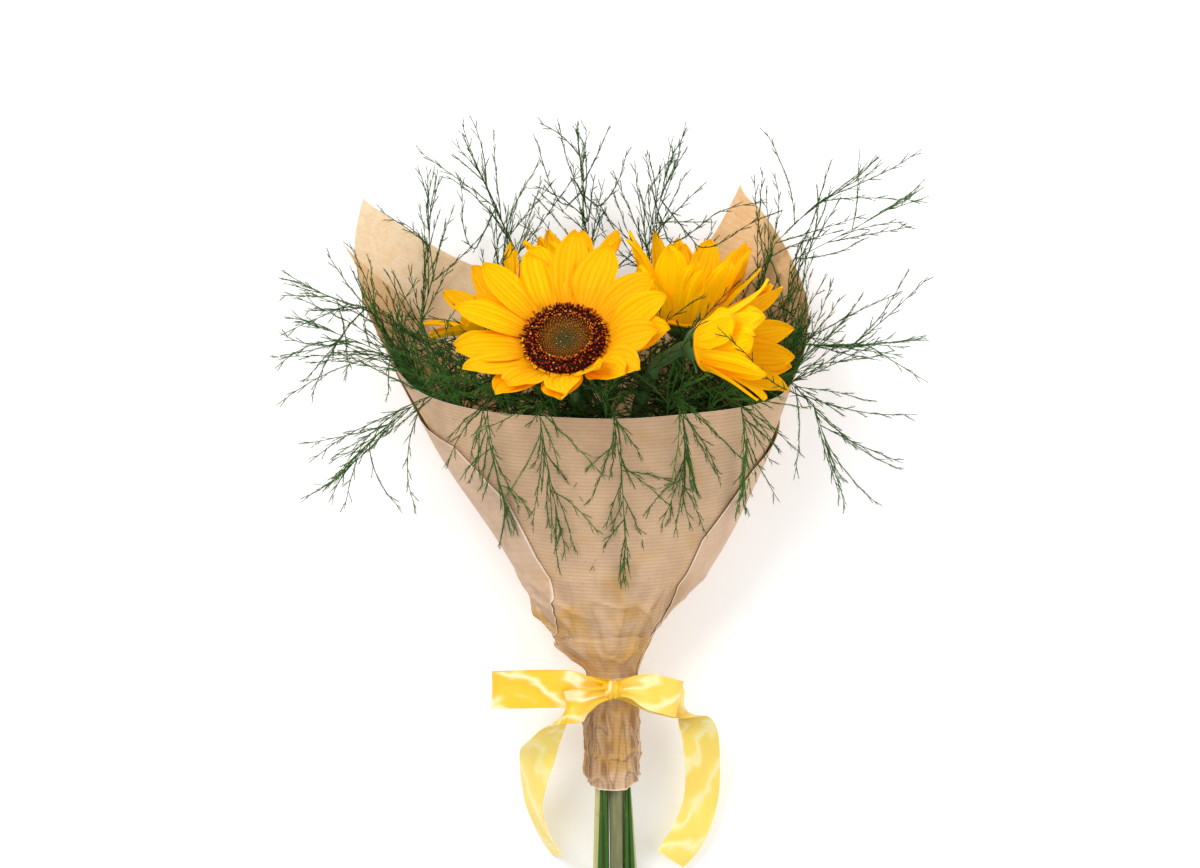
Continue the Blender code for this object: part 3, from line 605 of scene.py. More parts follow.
# Half width of the wrap to the left and to the right of its middle, its height above the axis there and
# the height of its underside, by the distance up the bunch.
LEFT_REACH = Curve(
    (-71, 18.2), (-30, 16.8), (0, 16.6), (9, 17), (18, 24.5), (27, 35), (37, 38.5), (48, 49.5), (62, 55),
    (99, 76), (160, 116), (187, 131), (218, 148), (304, 188), (350, 200),
)
RIGHT_REACH = Curve(
    (-71, 18.2), (-30, 16.8), (0, 16.6), (9, 16.8), (18, 18.4), (37, 27.5), (48, 35.5), (80, 64), (160, 104),
    (209, 122), (235, 131), (265, 136), (292, 133), (350, 124),
)
TOP_REACH = Curve((-71, 18.2), (-30, 16.8), (0, 16.6), (9, 16.8), (16, 18.8), (184, 70), (350, 100))
UNDERSIDE = Curve(
    (-71, 15.9), (-30, 23), (-10, 26), (0, 27.4), (9, 28.4), (16, 27.6), (50, 15), (92, 5), (128, -3),
    (285, -3), (350, 0),
)
PLEATS = 15
PLEAT_DEPTH = 0.45
GAP = 0.35
CAD_THICKNESS = 0.8
FINE_TO, FINE_ROW = 70.0, 1.45
HIGH_START, COARSE_ROW = 128.0, 2.9
ROWS_HIGH = 34
HEM_RISE = 0.994
HEM_SHARE = 0.022
EDGE_LIFT = 0.9
SLEEVE_END = -71.0
SLEEVE_BOW = -40.0
SHARP_PAPER = 28
# Each sheet, with angles by height for its two side edges, the angles between which its columns stand
# straight, and heights by angle for its top edge. lowest: the least of those. outside: laid over the other.
SHEETS = {
    "front": dict(
        first=[(-71, -84), (130, -84), (170, -80), (250, -68), (309, -58), (348, -43)],
        last=[(-71, 252), (130, 252), (190, 238), (230, 225), (270, 213), (290, 200), (304, 189)],
        fixed=(-36, 180),
        rim=[(-43, 348), (-20, 292), (-10, 262), (0, 232), (10, 209), (25, 198), (60, 188), (90, 184),
             (120, 187), (150, 198), (168, 216), (180, 262), (189, 304)],
        lowest=184.0,
        outside=False,
    ),
    "back": dict(
        first=[(-71, 148), (-10, 158), (18, 178), (30, 176), (37, 160), (48, 140), (62, 133), (76, 131),
               (90, 134), (128, 135), (165, 150), (187, 180), (296, 198), (337, 210)],
        last=[(-71, 380), (10, 366), (38, 364), (54, 382), (71, 399), (102, 400), (150, 382), (172, 364)],
        fixed=(216, 348),
        rim=[(210, 337), (240, 291), (262, 272), (285, 262), (310, 240), (340, 200), (364, 172)],
        lowest=172.0,
        outside=True,
    ),
}


def wrap_point(angle, y, offset, floor=0.0):
    """A point of the wrap at an angle and a height up the bunch, `offset` outside its middle layer."""
    turn = radians(angle)
    centre = AXIS_HEIGHT + AXIS_RISE * y
    wide = RIGHT_REACH(y) if cos(turn) > 0 else LEFT_REACH(y)
    deep = TOP_REACH(y) if sin(turn) > 0 else centre - UNDERSIDE(y)
    pleat = PLEAT_DEPTH * exp(-max(0.0, y) / 28.0) * cos(PLEATS * turn)
    pleat += 1.6 * min(1.0, max(0.0, y) / 180.0) * sin(3 * turn + 0.8)
    x = (wide + offset + pleat) * cos(turn)
    z = centre + (deep + offset + pleat) * sin(turn)
    return Vector((x, y, max(z, floor)))


def blur(x, y, z):
    return noise.noise(Vector((x, y, z)))


def ridge(x, y, z):
    """Sharp-backed folds, 0 to 1."""
    return max(0.0, 1.0 - 3.4 * abs(blur(x, y, z)))


def crumple(angle, y, depth):
    """How far the paper stands out at a place, and how much shade is painted in its creases there."""
    turn = radians(angle)
    c, s = cos(turn), sin(turn)
    under_ribbon = 1.0 - ease(8.0, 13.0, abs(y))
    sleeve = ease(9.0, 20.0, -y)
    neck = ease(9.0, 22.0, y) * (1.0 - ease(52.0, 96.0, y))
    long_fold = ridge(2.3 * c, 2.3 * s, y * 0.012)
    slant = ridge(1.7 * c + 9.0, 1.7 * s, y * 0.055 + 0.8 * c)
    small = ridge(4.4 * c + 3.0, 4.4 * s, y * 0.07)
    out = sleeve * (2.2 * long_fold + 1.7 * slant + 0.7 * small - 0.5)
    out += neck * (3.2 * long_fold + 2.2 * slant + 0.9 * small - 1.9)
    out += under_ribbon * (0.45 * long_fold - 0.15)
    out += ease(60.0, 150.0, y) * 1.7 * blur(1.5 * c, 1.5 * s, y * 0.014 + 4.0)
    # Painted shade in the creases: dark along the valleys and on the sharp backs of the folds.
    valley = 0.7 * (1 - long_fold) ** 3 * (1 - slant) ** 2
    crease_shade = (sleeve + 0.4 * neck) * (valley + 1.0 * slant**7 + 0.8 * long_fold**8)
    # The front bulges over the ribbon, up to a brow with a dark line of painted shade above it.
    front = ease(0.1, 0.5, s)
    brow = 34.5 + 2.5 * c + 1.5 * blur(2.0 * c, 3.0, 0.0)
    out += front * 2.6 * ease(17.0, 27.0, y) * (1.0 - ease(brow - 1.2, brow + 1.2, y))
    line = exp(-(((y - brow - 1.2) / 1.1) ** 2))
    crease_shade += front * 0.8 * ease(-0.2, 0.3, blur(2.5 * c, 7.0, 0.0)) * line
    return out * depth, min(1.0, crease_shade)


def side_angle(sheet, share, y):
    """Angle at a height of the column that stands at `share` of the sheet's top edge, and how near it
    is to the sheet's side edge."""
    top_first, top_last = sheet["first"][-1][1], sheet["last"][-1][1]
    low, high = sheet["fixed"]
    top = lerp(top_first, top_last, share)
    if top < low:
        near = (low - top) / (low - top_first)
        return lerp(low, at(sheet["first"], y), near), near
    if top > high:
        near = (top - high) / (top_last - high)
        return lerp(high, at(sheet["last"], y), near), near
    return top, 0.0


def column_shares(sheet, columns):
    """Where the sheet's columns stand along its top edge, so that they are even half way up."""
    first, last = sheet["first"][-1][1], sheet["last"][-1][1]
    low, high = sheet["fixed"]
    marks = [0.0, (low - first) / (last - first), (high - first) / (last - first), 1.0]
    widths = [low - at(sheet["first"], 60.0), high - low, at(sheet["last"], 60.0) - high]
    shares = []
    for a, b, width in zip(marks, marks[1:], widths):
        count = max(2, round((columns - 2) * width / sum(widths)))
        shares += [lerp(a, b, k / count) for k in range(count)]
    hem = HEM_SHARE * (marks[1] - marks[0]), HEM_SHARE * (marks[3] - marks[2])
    return [0.0, hem[0]] + shares[1:] + [1.0 - hem[1], 1.0]


def paper_shell(sheet, settings, columns):
    """One sheet: level rows up to HIGH_START, and from there rows that close up to its top edge."""
    rim_curve = Curve(*sheet["rim"])
    shares = column_shares(sheet, columns)
    lows = [*np.arange(SLEEVE_END, FINE_TO, FINE_ROW), *np.arange(FINE_TO, HIGH_START, COARSE_ROW)]
    steps = [(y, 0.0) for y in lows] + [(HIGH_START, k / ROWS_HIGH) for k in range(ROWS_HIGH + 1)]
    steps.insert(-1, (HIGH_START, HEM_RISE))
    thickness = settings.thickness

    def cell(row, column):
        low, rise = steps[row]
        share = shares[column]
        rim = rim_curve(lerp(sheet["first"][-1][1], sheet["last"][-1][1], share))
        y = lerp(low, rim, rise)
        angle, near = side_angle(sheet, share, y)
        if y < SLEEVE_BOW:
            y = lerp(SLEEVE_BOW, y, 1.0 - 0.3 * cos(radians(angle)) ** 4)
        out, crease_shade = crumple(angle, y, settings.crumple)
        gap = GAP + 1.3 * min(1.0, max(0.0, y) / 150.0)
        if sheet["outside"]:
            gap += EDGE_LIFT * near * min(1.0, max(0.0, y - 20) / 110)
            face, back, floor = gap + thickness, gap, 0.0
        else:
            face, back, floor = 0.0, -thickness, CAD_THICKNESS + gap
        golden = (1.0 - ease(20.0, 105.0, y)) * ease(-76.0, -44.0, y) * lerp(1.0, 0.5, ease(-6.0, 12.0, y))
        # Points on the sheet's edges get a pale colour, partly a painted highlight.
        on_edge = share in (0.0, 1.0) or rise == 1.0 or low == SLEEVE_END
        kept = dict(
            rib=sheet["lowest"] * 1.06 * (1 - y / rim), fold=crease_shade, low=golden, edge=1.0 if on_edge else 0.0
        )
        upper = wrap_point(angle, y, face + out, floor)
        return upper, wrap_point(angle, y, back + out, floor + thickness), kept

    shell = Shell("rib", "fold", "low", "under", "edge")
    shell.add_plate(len(steps), len(shares), cell)
    return shell


# ---------------------------------------------------------------- ribbon

PATH_STEP = 2.2
BAND_RADIUS = 19.5
KNOT_LENGTH = 40.0
# Each run of the bow: points that it passes, directions that its width takes along it and how pale it gets.
# The loops come first, the left one before the right one, and then the tails.
RIBBON_RUNS = [
    ([(-3, 0.2, 69), (-22, 0.5, 74), (-50, 0.5, 78), (-76, 0, 77), (-82, 0, 72), (-74, 0, 67.5),
      (-48, 0.5, 65), (-22, 0, 65.5), (-3.4, -0.3, 67)],
     [(0.02, 1, 0)] * 2, 0.0),
    ([(3, 0.4, 69.4), (16, 1.5, 76), (31, -2, 79.5), (43, -5.5, 76), (46, -6.5, 71.5), (40, -5.5, 66.5),
      (26, -2, 65.2), (13, 0, 66), (3.3, -0.2, 67.4)],
     [(0.22, 1, 0)] * 2, 0.0),
    ([(-3, -2.5, 72), (-14, -5, 79), (-28, -12, 82), (-41, -27, 70), (-52, -50, 45), (-55, -82, 25),
      (-47, -107, 16), (-37, -122, 14)],
     [(0.3, 1, 0), (0.5, 0.85, 0), (0.75, 0.6, 0.1), (0.85, 0.4, 0.3), (0.7, 0.15, 0.62), (0.5, 0, 0.88),
      (0.35, 0.1, 0.93), (0.35, 0.1, 0.93)], 0.75),
    ([(3.5, -2.2, 65.6), (24, -4, 61.5), (45, -10, 57), (59, -28, 47), (63, -55, 32), (62, -83, 18),
      (53, -108, 14), (41, -124, 12.5)],
     [(0, 1, 0), (-0.2, 1, 0), (-0.6, 0.8, 0), (-0.95, 0.3, 0.25), (-1, 0, 0.3), (-1, -0.1, 0.2),
      (-0.9, -0.5, 0), (-0.75, -0.7, 0)], 0.75),
]


def carried(marks, share):
    """The direction at a share of the way along the marks."""
    s = share * (len(marks) - 1)
    j = min(int(s), len(marks) - 2)
    return Vector(marks[j]).lerp(Vector(marks[j + 1]), s - j)


def ribbon_strip(shell, points, marks, width, pale, thickness=0.35, columns=11):
    """One run of ribbon, drawn into small pleats towards the knot. It gives the run's length."""
    path = smooth_path(points, PATH_STEP)
    travelled = 0.0
    rows = []
    for k, (centre, along) in enumerate(zip(path, tangents(path))):
        travelled += (path[k] - path[k - 1]).length if k else 0.0
        wide = carried(marks, k / (len(path) - 1))
        wide = (wide - along * wide.dot(along)).normalized()
        full = min(1.0, 0.4 + 0.6 * ease(2.0, 30.0, abs(centre.x)))
        rows.append((centre, wide, wide.cross(along).normalized(), full, travelled))

    def cell(row, column):
        centre, wide, up, full, gone = rows[row]
        v = across_share(column, columns)
        pleat = (1 - full) * 1.5 * cos(v * pi * 2.5)
        bow = 0.7 * full * (1 - v * v) * sin(gone * 0.05)
        spot = centre + wide * (width / 2 * full * v) + up * (pleat + bow)
        # Painted shade in the valleys of the pleats.
        fold = (1 - full) * (0.5 + 0.5 * cos(v * pi * 2.5 + pi))
        kept = dict(along=gone, across=v * width / 2, fold=fold, pale=pale * ease(25.0, 75.0, gone))
        return spot + up * (thickness / 2), spot - up * (thickness / 2), kept

    shell.add_plate(len(rows), columns, cell)
    return travelled


def ribbon_band(shell, width, rows=73, columns=9):
    """The ring of ribbon round the tie, bunched into three soft pleats."""

    def cell(row, column):
        turn = tau * row / (rows - 1)
        v = across_share(column, columns)
        y = v * (7.5 + 0.6 * sin(3 * turn))
        pair = []
        for lift in (0.75, 0.4):
            r = BAND_RADIUS - 0.3 + lift + 0.4 * cos(v * tau + 0.7 * sin(2 * turn))
            pair.append(Vector((r * cos(turn), y, AXIS_HEIGHT + AXIS_RISE * y + r * sin(turn))))
        # Painted shade in the valleys of the pleats.
        fold = 0.5 + 0.5 * cos(v * tau + pi)
        return *pair, dict(along=turn * BAND_RADIUS, across=v * width / 2, fold=fold)

    shell.add_plate(rows, columns, cell)


def ribbon_knot(shell):
    """The knot: a short band drawn over the middle, wider across the bunch than along it."""
    shape = Curve((-7.0, 4.2), (-4.0, 6.0), (0.3, 6.9), (4.0, 6.2), (7.0, 4.4))
    profile = [(shape(h), h) for h in np.linspace(-7.0, 7.0, 25)]

    def place(a, b, h):
        return Vector((-0.5 + h + 0.25 * a, -0.4 + a * 0.98, 69.2 + b * 0.72))

    def wave(angle, height):
        return 0.45 * sin(height * 1.7 + 1.3 * sin(angle)) + 0.25 * sin(height * 3.1 + angle)

    points, faces = turned(profile, 40, place, wave)
    # Painted shade along the knot's wrinkles.
    fold = [0.35 + 0.35 * sin(p.x * 1.7) for p in points]
    shell.add(points, faces, along=[p.y * 2 for p in points], across=[p.x for p in points], fold=fold)


# ---------------------------------------------------------------- sunflowers

# centre, normal and roll: where the face of the bloom is and how it's turned. disc: radius. petal, width:
# size of a petal. cup: how far the petals rise, and tuck: a side where they rise more. petals: how many in
# each layer. slot: angle of the stem in the tie. end: its cut end.
BLOOMS = table(
    "name centre normal roll disc petal width cup petals bracts slot end seed stem_tone tuck",
    ("main", (-31, 235, 155), (-0.08, 0.56, 0.83), 12, 27, 50, 25, 28, (14, 9), 8, 144, (-10, -178, 15.5),
     11, 0.7, (285, 24)),
    ("right_back", (50, 254, 76), (0.12, 0.95, 0.26), 5, 19, 58, 22, 71, (11, 6), 5, 0, (17, -176, 13), 23,
     0.95),
    ("right_front", (62, 232, 138), (0.9, 0.06, 0.4), 20, 15, 54, 23, 74, (9, 4), 5, 72, (4, -184, 22.5),
     35, 0.4),
    ("top_back", (-25, 278, 70), (-0.02, 0.94, 0.2), 0, 17, 37, 18, 66, (9, 4), 5, 288, (9, -181, 4.9), 47,
     0.35),
    ("left_back", (-78, 256, 75), (-0.66, 0.7, 0.24), 10, 17, 40, 18, 50, (8, 4), 5, 216, (-6, -174, 4.9),
     59, 0.62),
)
MAIN_DISC = 27.0
STEM_RADIUS = 4.9
STEM_CIRCLE = 8.55
STEM_SIDES = 28
NECK_DROP = 17
CUP = [(0.3, -15.6), (0.45, -14.3), (0.68, -11.6), (0.8, -9.2), (0.9, -6.4)]
GREEN_TONE = 0.05
DRAWS_PER_BRACT = 4
FINE_SEED = 900
DISC_SEED = 500
PETAL_OUTLINE = Curve(
    (0.0, 0.46), (0.1, 0.66), (0.22, 0.86), (0.36, 0.98), (0.52, 1.0), (0.68, 0.92), (0.8, 0.74),
    (0.9, 0.46), (0.96, 0.24), (1.0, 0.03),
)
BRACT_OUTLINE = Curve((0.0, 0.9), (0.3, 1.0), (0.6, 0.66), (0.85, 0.24), (1.0, 0.04))
DISC_HEIGHT = Curve((0, 1.2), (9, 1.9), (15, 3.4), (21, 4.4), (25, 3.2), (27, 0.6))
FLORET_FACES = ring_faces(3, 5)[:-2] + [(10 + k, 10 + (k + 1) % 5, 15) for k in range(5)] + [(4, 3, 2, 1, 0)]


def facing(bloom):
    """A place maker: local x, y in the bloom's face and z along its normal."""
    normal = Vector(bloom["normal"]).normalized()
    right = Vector((0, 1, 0)).cross(normal) if abs(normal.y) < 0.95 else Vector((1, 0, 0))
    right = (right - normal * right.dot(normal)).normalized()
    up = normal.cross(right)
    turn = radians(bloom["roll"])
    axis_a = right * cos(turn) + up * sin(turn)
    axis_b = up * cos(turn) - right * sin(turn)
    centre = Vector(bloom["centre"])
    return lambda a, b, h: centre + axis_a * a + axis_b * b + normal * h


def ray(turn):
    """Directions outwards and sideways in the bloom's face."""
    out = Vector((cos(turn), sin(turn)))
    return out, Vector((-out.y, out.x))


def cup_at(bloom, angle):
    """Rise of the petals above the bloom's face: some blooms close up towards one side."""
    side, extra = bloom.get("tuck", (0, 0))
    return bloom["cup"] + extra * max(0.0, cos(radians(angle - side)))


def add_petal(shell, place, bloom, angle, layer, draw, fine, rows=27, columns=15):
    """One ray petal: narrow root, two long grooves, a dished blade and a pointed, slightly curled tip."""
    length = bloom["petal"] * draw.uniform(0.88, 1.06) * (0.93 if layer else 1.0)
    width = bloom["width"] * draw.uniform(0.86, 1.1)
    rise = radians(cup_at(bloom, angle) - 9.0 * layer + draw.uniform(-3, 3))
    bend = radians(draw.uniform(-26, 4))
    twist = radians(9.0 + draw.uniform(-3, 3))
    drift = draw.uniform(-0.06, 0.06)
    wave = fine.uniform(0, tau)
    ruffle = fine.uniform(0.3, 1.1)
    curl = fine.uniform(-0.5, 0.9)
    notch = fine.uniform(-0.25, 0.25)
    here = Vector((bloom["disc"] + 0.3, -1.15 - 1.3 * layer))
    spine = []
    for r in range(rows):
        share = r / (rows - 1)
        lean = rise + bend * share - curl * ease(0.72, 1.0, share) * 0.5
        if r:
            here = here + Vector((cos(lean), sin(lean))) * (length / (rows - 1))
        spine.append((share, lean, here, *ray(radians(angle) + drift * share)))

    def cell(row, column):
        share, lean, here, out, side = spine[row]
        v = across_share(column, columns)
        half = width / 2 * PETAL_OUTLINE(share)
        opened = ease(0.0, 0.3, share)
        shift = half * v * (1 + 0.05 * sin(share * 7 + wave + 2 * v)) + notch * width * 0.1 * share**3
        lift = half * v * sin(twist) * lerp(0.25, 1.0, opened)
        lift += width * 0.085 * v * v * opened
        lift += 0.85 * cos(v * pi * 2.6) * opened * (1 - share * 0.6)
        lift += ruffle * abs(v) ** 3 * sin(share * 9.0 + wave + v) * opened
        r, h = here.x - lift * sin(lean), here.y + lift * cos(lean)
        spot = (out.x * r + side.x * shift, out.y * r + side.y * shift)
        thin = lerp(0.42, 0.16, max(abs(v) ** 2, share**3)) / 2
        return place(*spot, h + thin), place(*spot, h - thin), dict(along=share, side=v)

    shell.add_plate(rows, columns, cell, tone=fine.random())


def petals_shell(bloom, place):
    """Two layers of petals round a narrow ring. Their draws follow those of the bracts."""
    draw = random.Random(bloom["seed"])
    for _ in range(DRAWS_PER_BRACT * bloom["bracts"]):
        draw.random()
    fine = random.Random(bloom["seed"] + FINE_SEED)
    shell = Shell("along", "side", "tone", "under")
    disc = bloom["disc"]
    ring = [(disc + 1.0, -3.2), (disc + 1.9, -1.9), (disc + 1.0, -0.65)]
    shell.add(*turned(ring, 40, place), tone=0.5, under=1.0)
    for layer, count in enumerate(bloom["petals"]):
        for k in range(count):
            angle = 360 / count * (k + 0.5 * layer) + draw.uniform(-4, 4)
            add_petal(shell, place, bloom, angle, layer, draw, fine)
    return shell


def add_floret(shell, root, axis, length, radius, ring, tone, flare):
    """A five-sided floret: a narrow tube that opens to a small mouth or closes to a bud."""
    across = axis.orthogonal().normalized()
    other = axis.cross(across)
    points, tips = [], []
    for share, size in ((0.0, 0.7), (0.55, 0.85), (0.88, flare)):
        for angle in (turn + tone * 6 for turn in angles(5)):
            rim = (across * cos(angle) + other * sin(angle)) * radius * size
            points.append(root + axis * (length * share) + rim)
            tips.append(share)
    shell.add(points + [root + axis * length], FLORET_FACES, ring=ring, tip=tips + [1.0], tone=tone)


def disc_shell(bloom, place, florets):
    """Florets set in the sunflower's spiral: tall dark ones outside, amber ones, then tight buds."""
    draw = random.Random(bloom["seed"] + DISC_SEED)
    radius = bloom["disc"]
    scale = radius / MAIN_DISC
    shell = Shell("ring", "tip", "tone")
    profile = [(0.2, -0.3), (radius - 0.5, -0.3)]
    shares = np.linspace(0.985, 0.02, 16)
    profile += [(MAIN_DISC * s * scale, DISC_HEIGHT(MAIN_DISC * s) * scale - 0.3) for s in shares]
    points, faces = turned(profile, 48, place)
    centre = place(0, 0, 0)
    shell.add(points, faces, ring=[min(1.0, (p - centre).length / radius) for p in points], tone=0.5)
    count = max(260, round(florets * scale))
    golden = pi * (3 - sqrt(5))
    for k in range(count):
        share = sqrt((k + 0.6) / count)
        r = share * (MAIN_DISC - 0.6)
        turn = k * golden
        slope = (DISC_HEIGHT(r + 0.5) - DISC_HEIGHT(r - 0.5)) if r > 0.5 else 0.0
        strokes = ease(0.22, 0.34, share) * (1 - ease(0.6, 0.7, share))
        tilt = -slope * 0.8 + (0.85 * ease(0.75, 1.0, share))
        tilt += 0.8 * strokes + draw.uniform(-0.4, 0.4) * ease(0.3, 0.8, share)
        swing = turn + draw.uniform(-0.5, 0.5) * ease(0.4, 0.9, share)
        root = place(r * scale * cos(turn), r * scale * sin(turn), (DISC_HEIGHT(r) - 0.2) * scale)
        aim = place(cos(swing) * sin(tilt), sin(swing) * sin(tilt), cos(tilt)) - centre
        tall = (lerp(1.3, 4.1, ease(0.45, 0.9, share)) + 0.9 * strokes) * draw.uniform(0.55, 1.4)
        size = (lerp(0.46, 0.60, ease(0.1, 0.8, share)) - 0.1 * strokes) * draw.uniform(0.85, 1.15)
        flare = draw.choice((0.35, 1.0, 1.15)) if share > 0.62 else 0.4
        add_floret(shell, root, aim.normalized(), tall * scale, size * scale, share, draw.random(), flare)
    return shell


def add_bract(shell, place, bloom, angle, draw, rows=12, columns=7):
    """A pointed green leaf under the petals, dished along its midrib."""
    disc = bloom["disc"]
    length = draw.uniform(20, 27) * disc / MAIN_DISC
    rise = radians(min(28, bloom["cup"] - 20) + draw.uniform(-10, 0))
    half = draw.uniform(3.6, 4.8)
    root = disc * 0.8 - 3.0
    below = -4.5 - (disc + 1.9 - root) * tan(rise)
    out, side = ray(radians(angle))

    def cell(row, column):
        share = row / (rows - 1)
        v = across_share(column, columns)
        x = root + length * share * cos(rise)
        h = below + length * share * sin(rise) - 1.2 * share**3
        w = half * BRACT_OUTLINE(share) * v
        spot = (out.x * x + side.x * w, out.y * x + side.y * w)
        h += -0.8 * (1 - abs(v)) + 0.25 * cos(v * 9)
        return place(*spot, h + 0.25), place(*spot, h - 0.25), {}

    shell.add_plate(rows, columns, cell, side=0.3, tone=GREEN_TONE)


def bundled(circle, slot):
    """The line of a stem through the tie: its point at each distance up the bunch."""
    turn = radians(slot)
    spot = Vector((circle * cos(turn), 0, circle * sin(turn)))
    return lambda y: Vector((spot.x, y, AXIS_HEIGHT + AXIS_RISE * y + spot.z))


def stem_path(bloom):
    """From the cut end through the tie to the back of the bloom, turning into its normal."""
    normal = Vector(bloom["normal"]).normalized()
    neck = Vector(bloom["centre"]) - normal * NECK_DROP
    level = bundled(STEM_CIRCLE, bloom["slot"])
    x, y, z = bloom["end"]
    path = [Vector((x, y, z)), Vector((x, -135, z)).lerp(level(-135), 0.42), level(-72), level(0)]
    start = level(12)
    reach = neck - start
    handle_a = start + Vector((reach.x * 0.22, reach.length * 0.42, reach.z * 0.2))
    handle_b = neck - normal * reach.length * 0.2
    for t in (k / 6 for k in range(6)):
        s = 1 - t
        path.append(start * s**3 + handle_a * 3 * t * s**2 + handle_b * 3 * t * t * s + neck * t**3)
    return path + [neck, neck + normal * 6]


def stem_shell(bloom, place):
    """A ridged stem with the green cup and the bracts behind its bloom."""
    draw = random.Random(bloom["seed"])
    path = stem_path(bloom)
    radii = [STEM_RADIUS - 0.3] * 2 + [STEM_RADIUS - 0.1]
    radii += [STEM_RADIUS - 0.05 * k for k in range(len(path) - 3)]
    path, radii = fine_polyline(path, [r - 0.05 for r in radii], 7.0)
    shell = Shell("along", "side", "tone", "cut")
    points, faces = tube(path, radii, STEM_SIDES, 0.022)
    turns = [cos(angle) for angle in angles(STEM_SIDES)] * len(path)
    cut = [1.0 if k < STEM_SIDES else 0.0 for k in range(len(points))]
    tones = [lerp(bloom["stem_tone"], 0.08, ease(70, 140, p.y)) for p in points]
    shell.add(points, faces, along=[p.y for p in points], side=turns, tone=tones, cut=cut)
    disc = bloom["disc"]
    cup = [(disc * share, height) for share, height in CUP]
    cup = [(4.2, -NECK_DROP), *cup, (disc - 1.5, -3.7)]
    shell.add(*turned(cup, 32, place, lambda a, h: 0.25 * sin(a * 13)), tone=GREEN_TONE)
    for k in range(bloom["bracts"]):
        angle = 360 / bloom["bracts"] * k + draw.uniform(-6, 6)
        add_bract(shell, place, bloom, angle, draw)
    return shell


# ---------------------------------------------------------------- fern

FERN_CIRCLE = 14.0
FERN_STEM = 1.0
FERN_FOOT = 1.8
TWIG_STEP = 4.0
NEEDLE_RADIUS = 0.28
TWIG_RADIUS = 0.45
TUFT_ROOTS = (158, 206)
MOUTH = 176.0
CLEARANCE = 1.7
LOWEST = 2.0
TRIES = 60
STEM_STEP = 36.0
NO_LIMIT = -999.0
ROOM = 4.0
FERN_SEED = 300
# slot, angle: where the main stem lies in the tie and in the wrap. over: where it crosses the front rim, if
# it does. climb: heights that it passes in the wrap. outside: points that it passes beyond, which are the
# angle, height and offset of a wrap_point for the ones in front. foot: points below the tie.
SPRAYS = table(
    "name slot angle over climb outside foot",
    ("left_top", 188, 176, 176, (150, 200), [(-180, 262, 102), (-194, 268, 100)]),
    ("left_mid", 177, 160, 160, (150, 178), [(-166, 234, 112), (-189, 243, 104)]),
    ("left_low", 166, 143, 141, (150, 170), [(-142, 187, 124), (-176, 152, 98)]),
    ("right_top", -36, -38, None, (150, 210, 265), [(112, 305, 52), (138, 330, 66), (158, 342, 70)]),
    ("right_mid", -19, -20, -16, (150, 210, 255), [(162, 312, 88), (187, 326, 86)]),
    ("right_side", 25, 4, 4, (150, 195), [(160, 233, 110), (184, 235, 103)]),
    ("right_low", 34, 24, 19, (150,), [(134, 194, 112), (144, 166, 100)],
     [(15.6, -158, 23.2), (14.6, -132, 26.2)]),
    ("top_mid", 250, 262, None, (150, 210, 262), [(-16, 318, 18), (-20, 348, 38), (-23, 370, 52)]),
    ("top_left", 240, 238, None, (150, 210, 255), [(-66, 300, 28), (-80, 330, 48), (-90, 352, 60)]),
    ("top_right", 260, 283, None, (150, 210, 262), [(26, 305, 22), (32, 328, 40), (36, 348, 54)]),
    ("far_left", 199, 212, None, (150, 210, 250), [(-124, 284, 34), (-126, 308, 46), (-124, 329, 62)]),
    ("front_left", 120, 122, 124, (150,), [(125, 190, 14), (128, 160, 12), (133, 132, 8)],
     [(-9.4, -156, 26.2), (-8.2, -132, 30)]),
    ("front_left_mid", 96, 106, 108, (150,), [(109, 190, 15), (110, 158, 12), (112, 118, 8)]),
    ("front_mid", 108, 92, 92, (150,), [(90, 190, 15), (87, 150, 12), (84, 100, 7)],
     [(-3.6, -166, 25), (-3.6, -132, 28.6)]),
    ("front_right_mid", 56, 70, 70, (150,), [(69, 190, 15), (66, 165, 12), (63, 136, 9)]),
    ("front_right", 45, 56, 52, (150,), [(50, 192, 16), (44, 172, 15), (38, 147, 12)],
     [(10.9, -162, 24), (10.4, -132, 27.6)]),
)
# How each group of sprays grows. leafy: height where the count of shoots begins. length: theirs. turn, lift,
# away, fall: how far they swing sideways, upwards, outwards and downwards. side: length of the side twigs.
# needle: share of the usual length. light: how pale. tuft: shoots in the mouth of the wrap, which end up to
# rise, and reach: how far aside.
HABITS = table(
    "group leafy count length turn lift away fall side needle light tuft reach rise",
    ("left", 160, 33, 92, 30, 0.1, 0.45, (0, -0.012, -0.014), 21, 0.85, 0.05, 24, (-1.4, 0.3), 236),
    ("right", 160, 26, 90, 24, 0.1, 0.3, (0, 0, -0.012), 18, 0.8, 0.05, 22, (-0.4, 1.2), 256),
    ("top", 258, 24, 80, 32, 0.2, 0.0, (0, 0, -0.006), 14, 0.8, 0.0, 0),
    ("far", 236, 16, 72, 30, 0.12, 0.1, (0, 0, -0.01), 15, 0.8, 0.0, 0),
    ("front", 186, 21, 62, 28, 0.02, 0.0, (0, -0.03, -0.03), 25, 0.95, 0.3, 62, (-1.5, 1.5), 222),
)
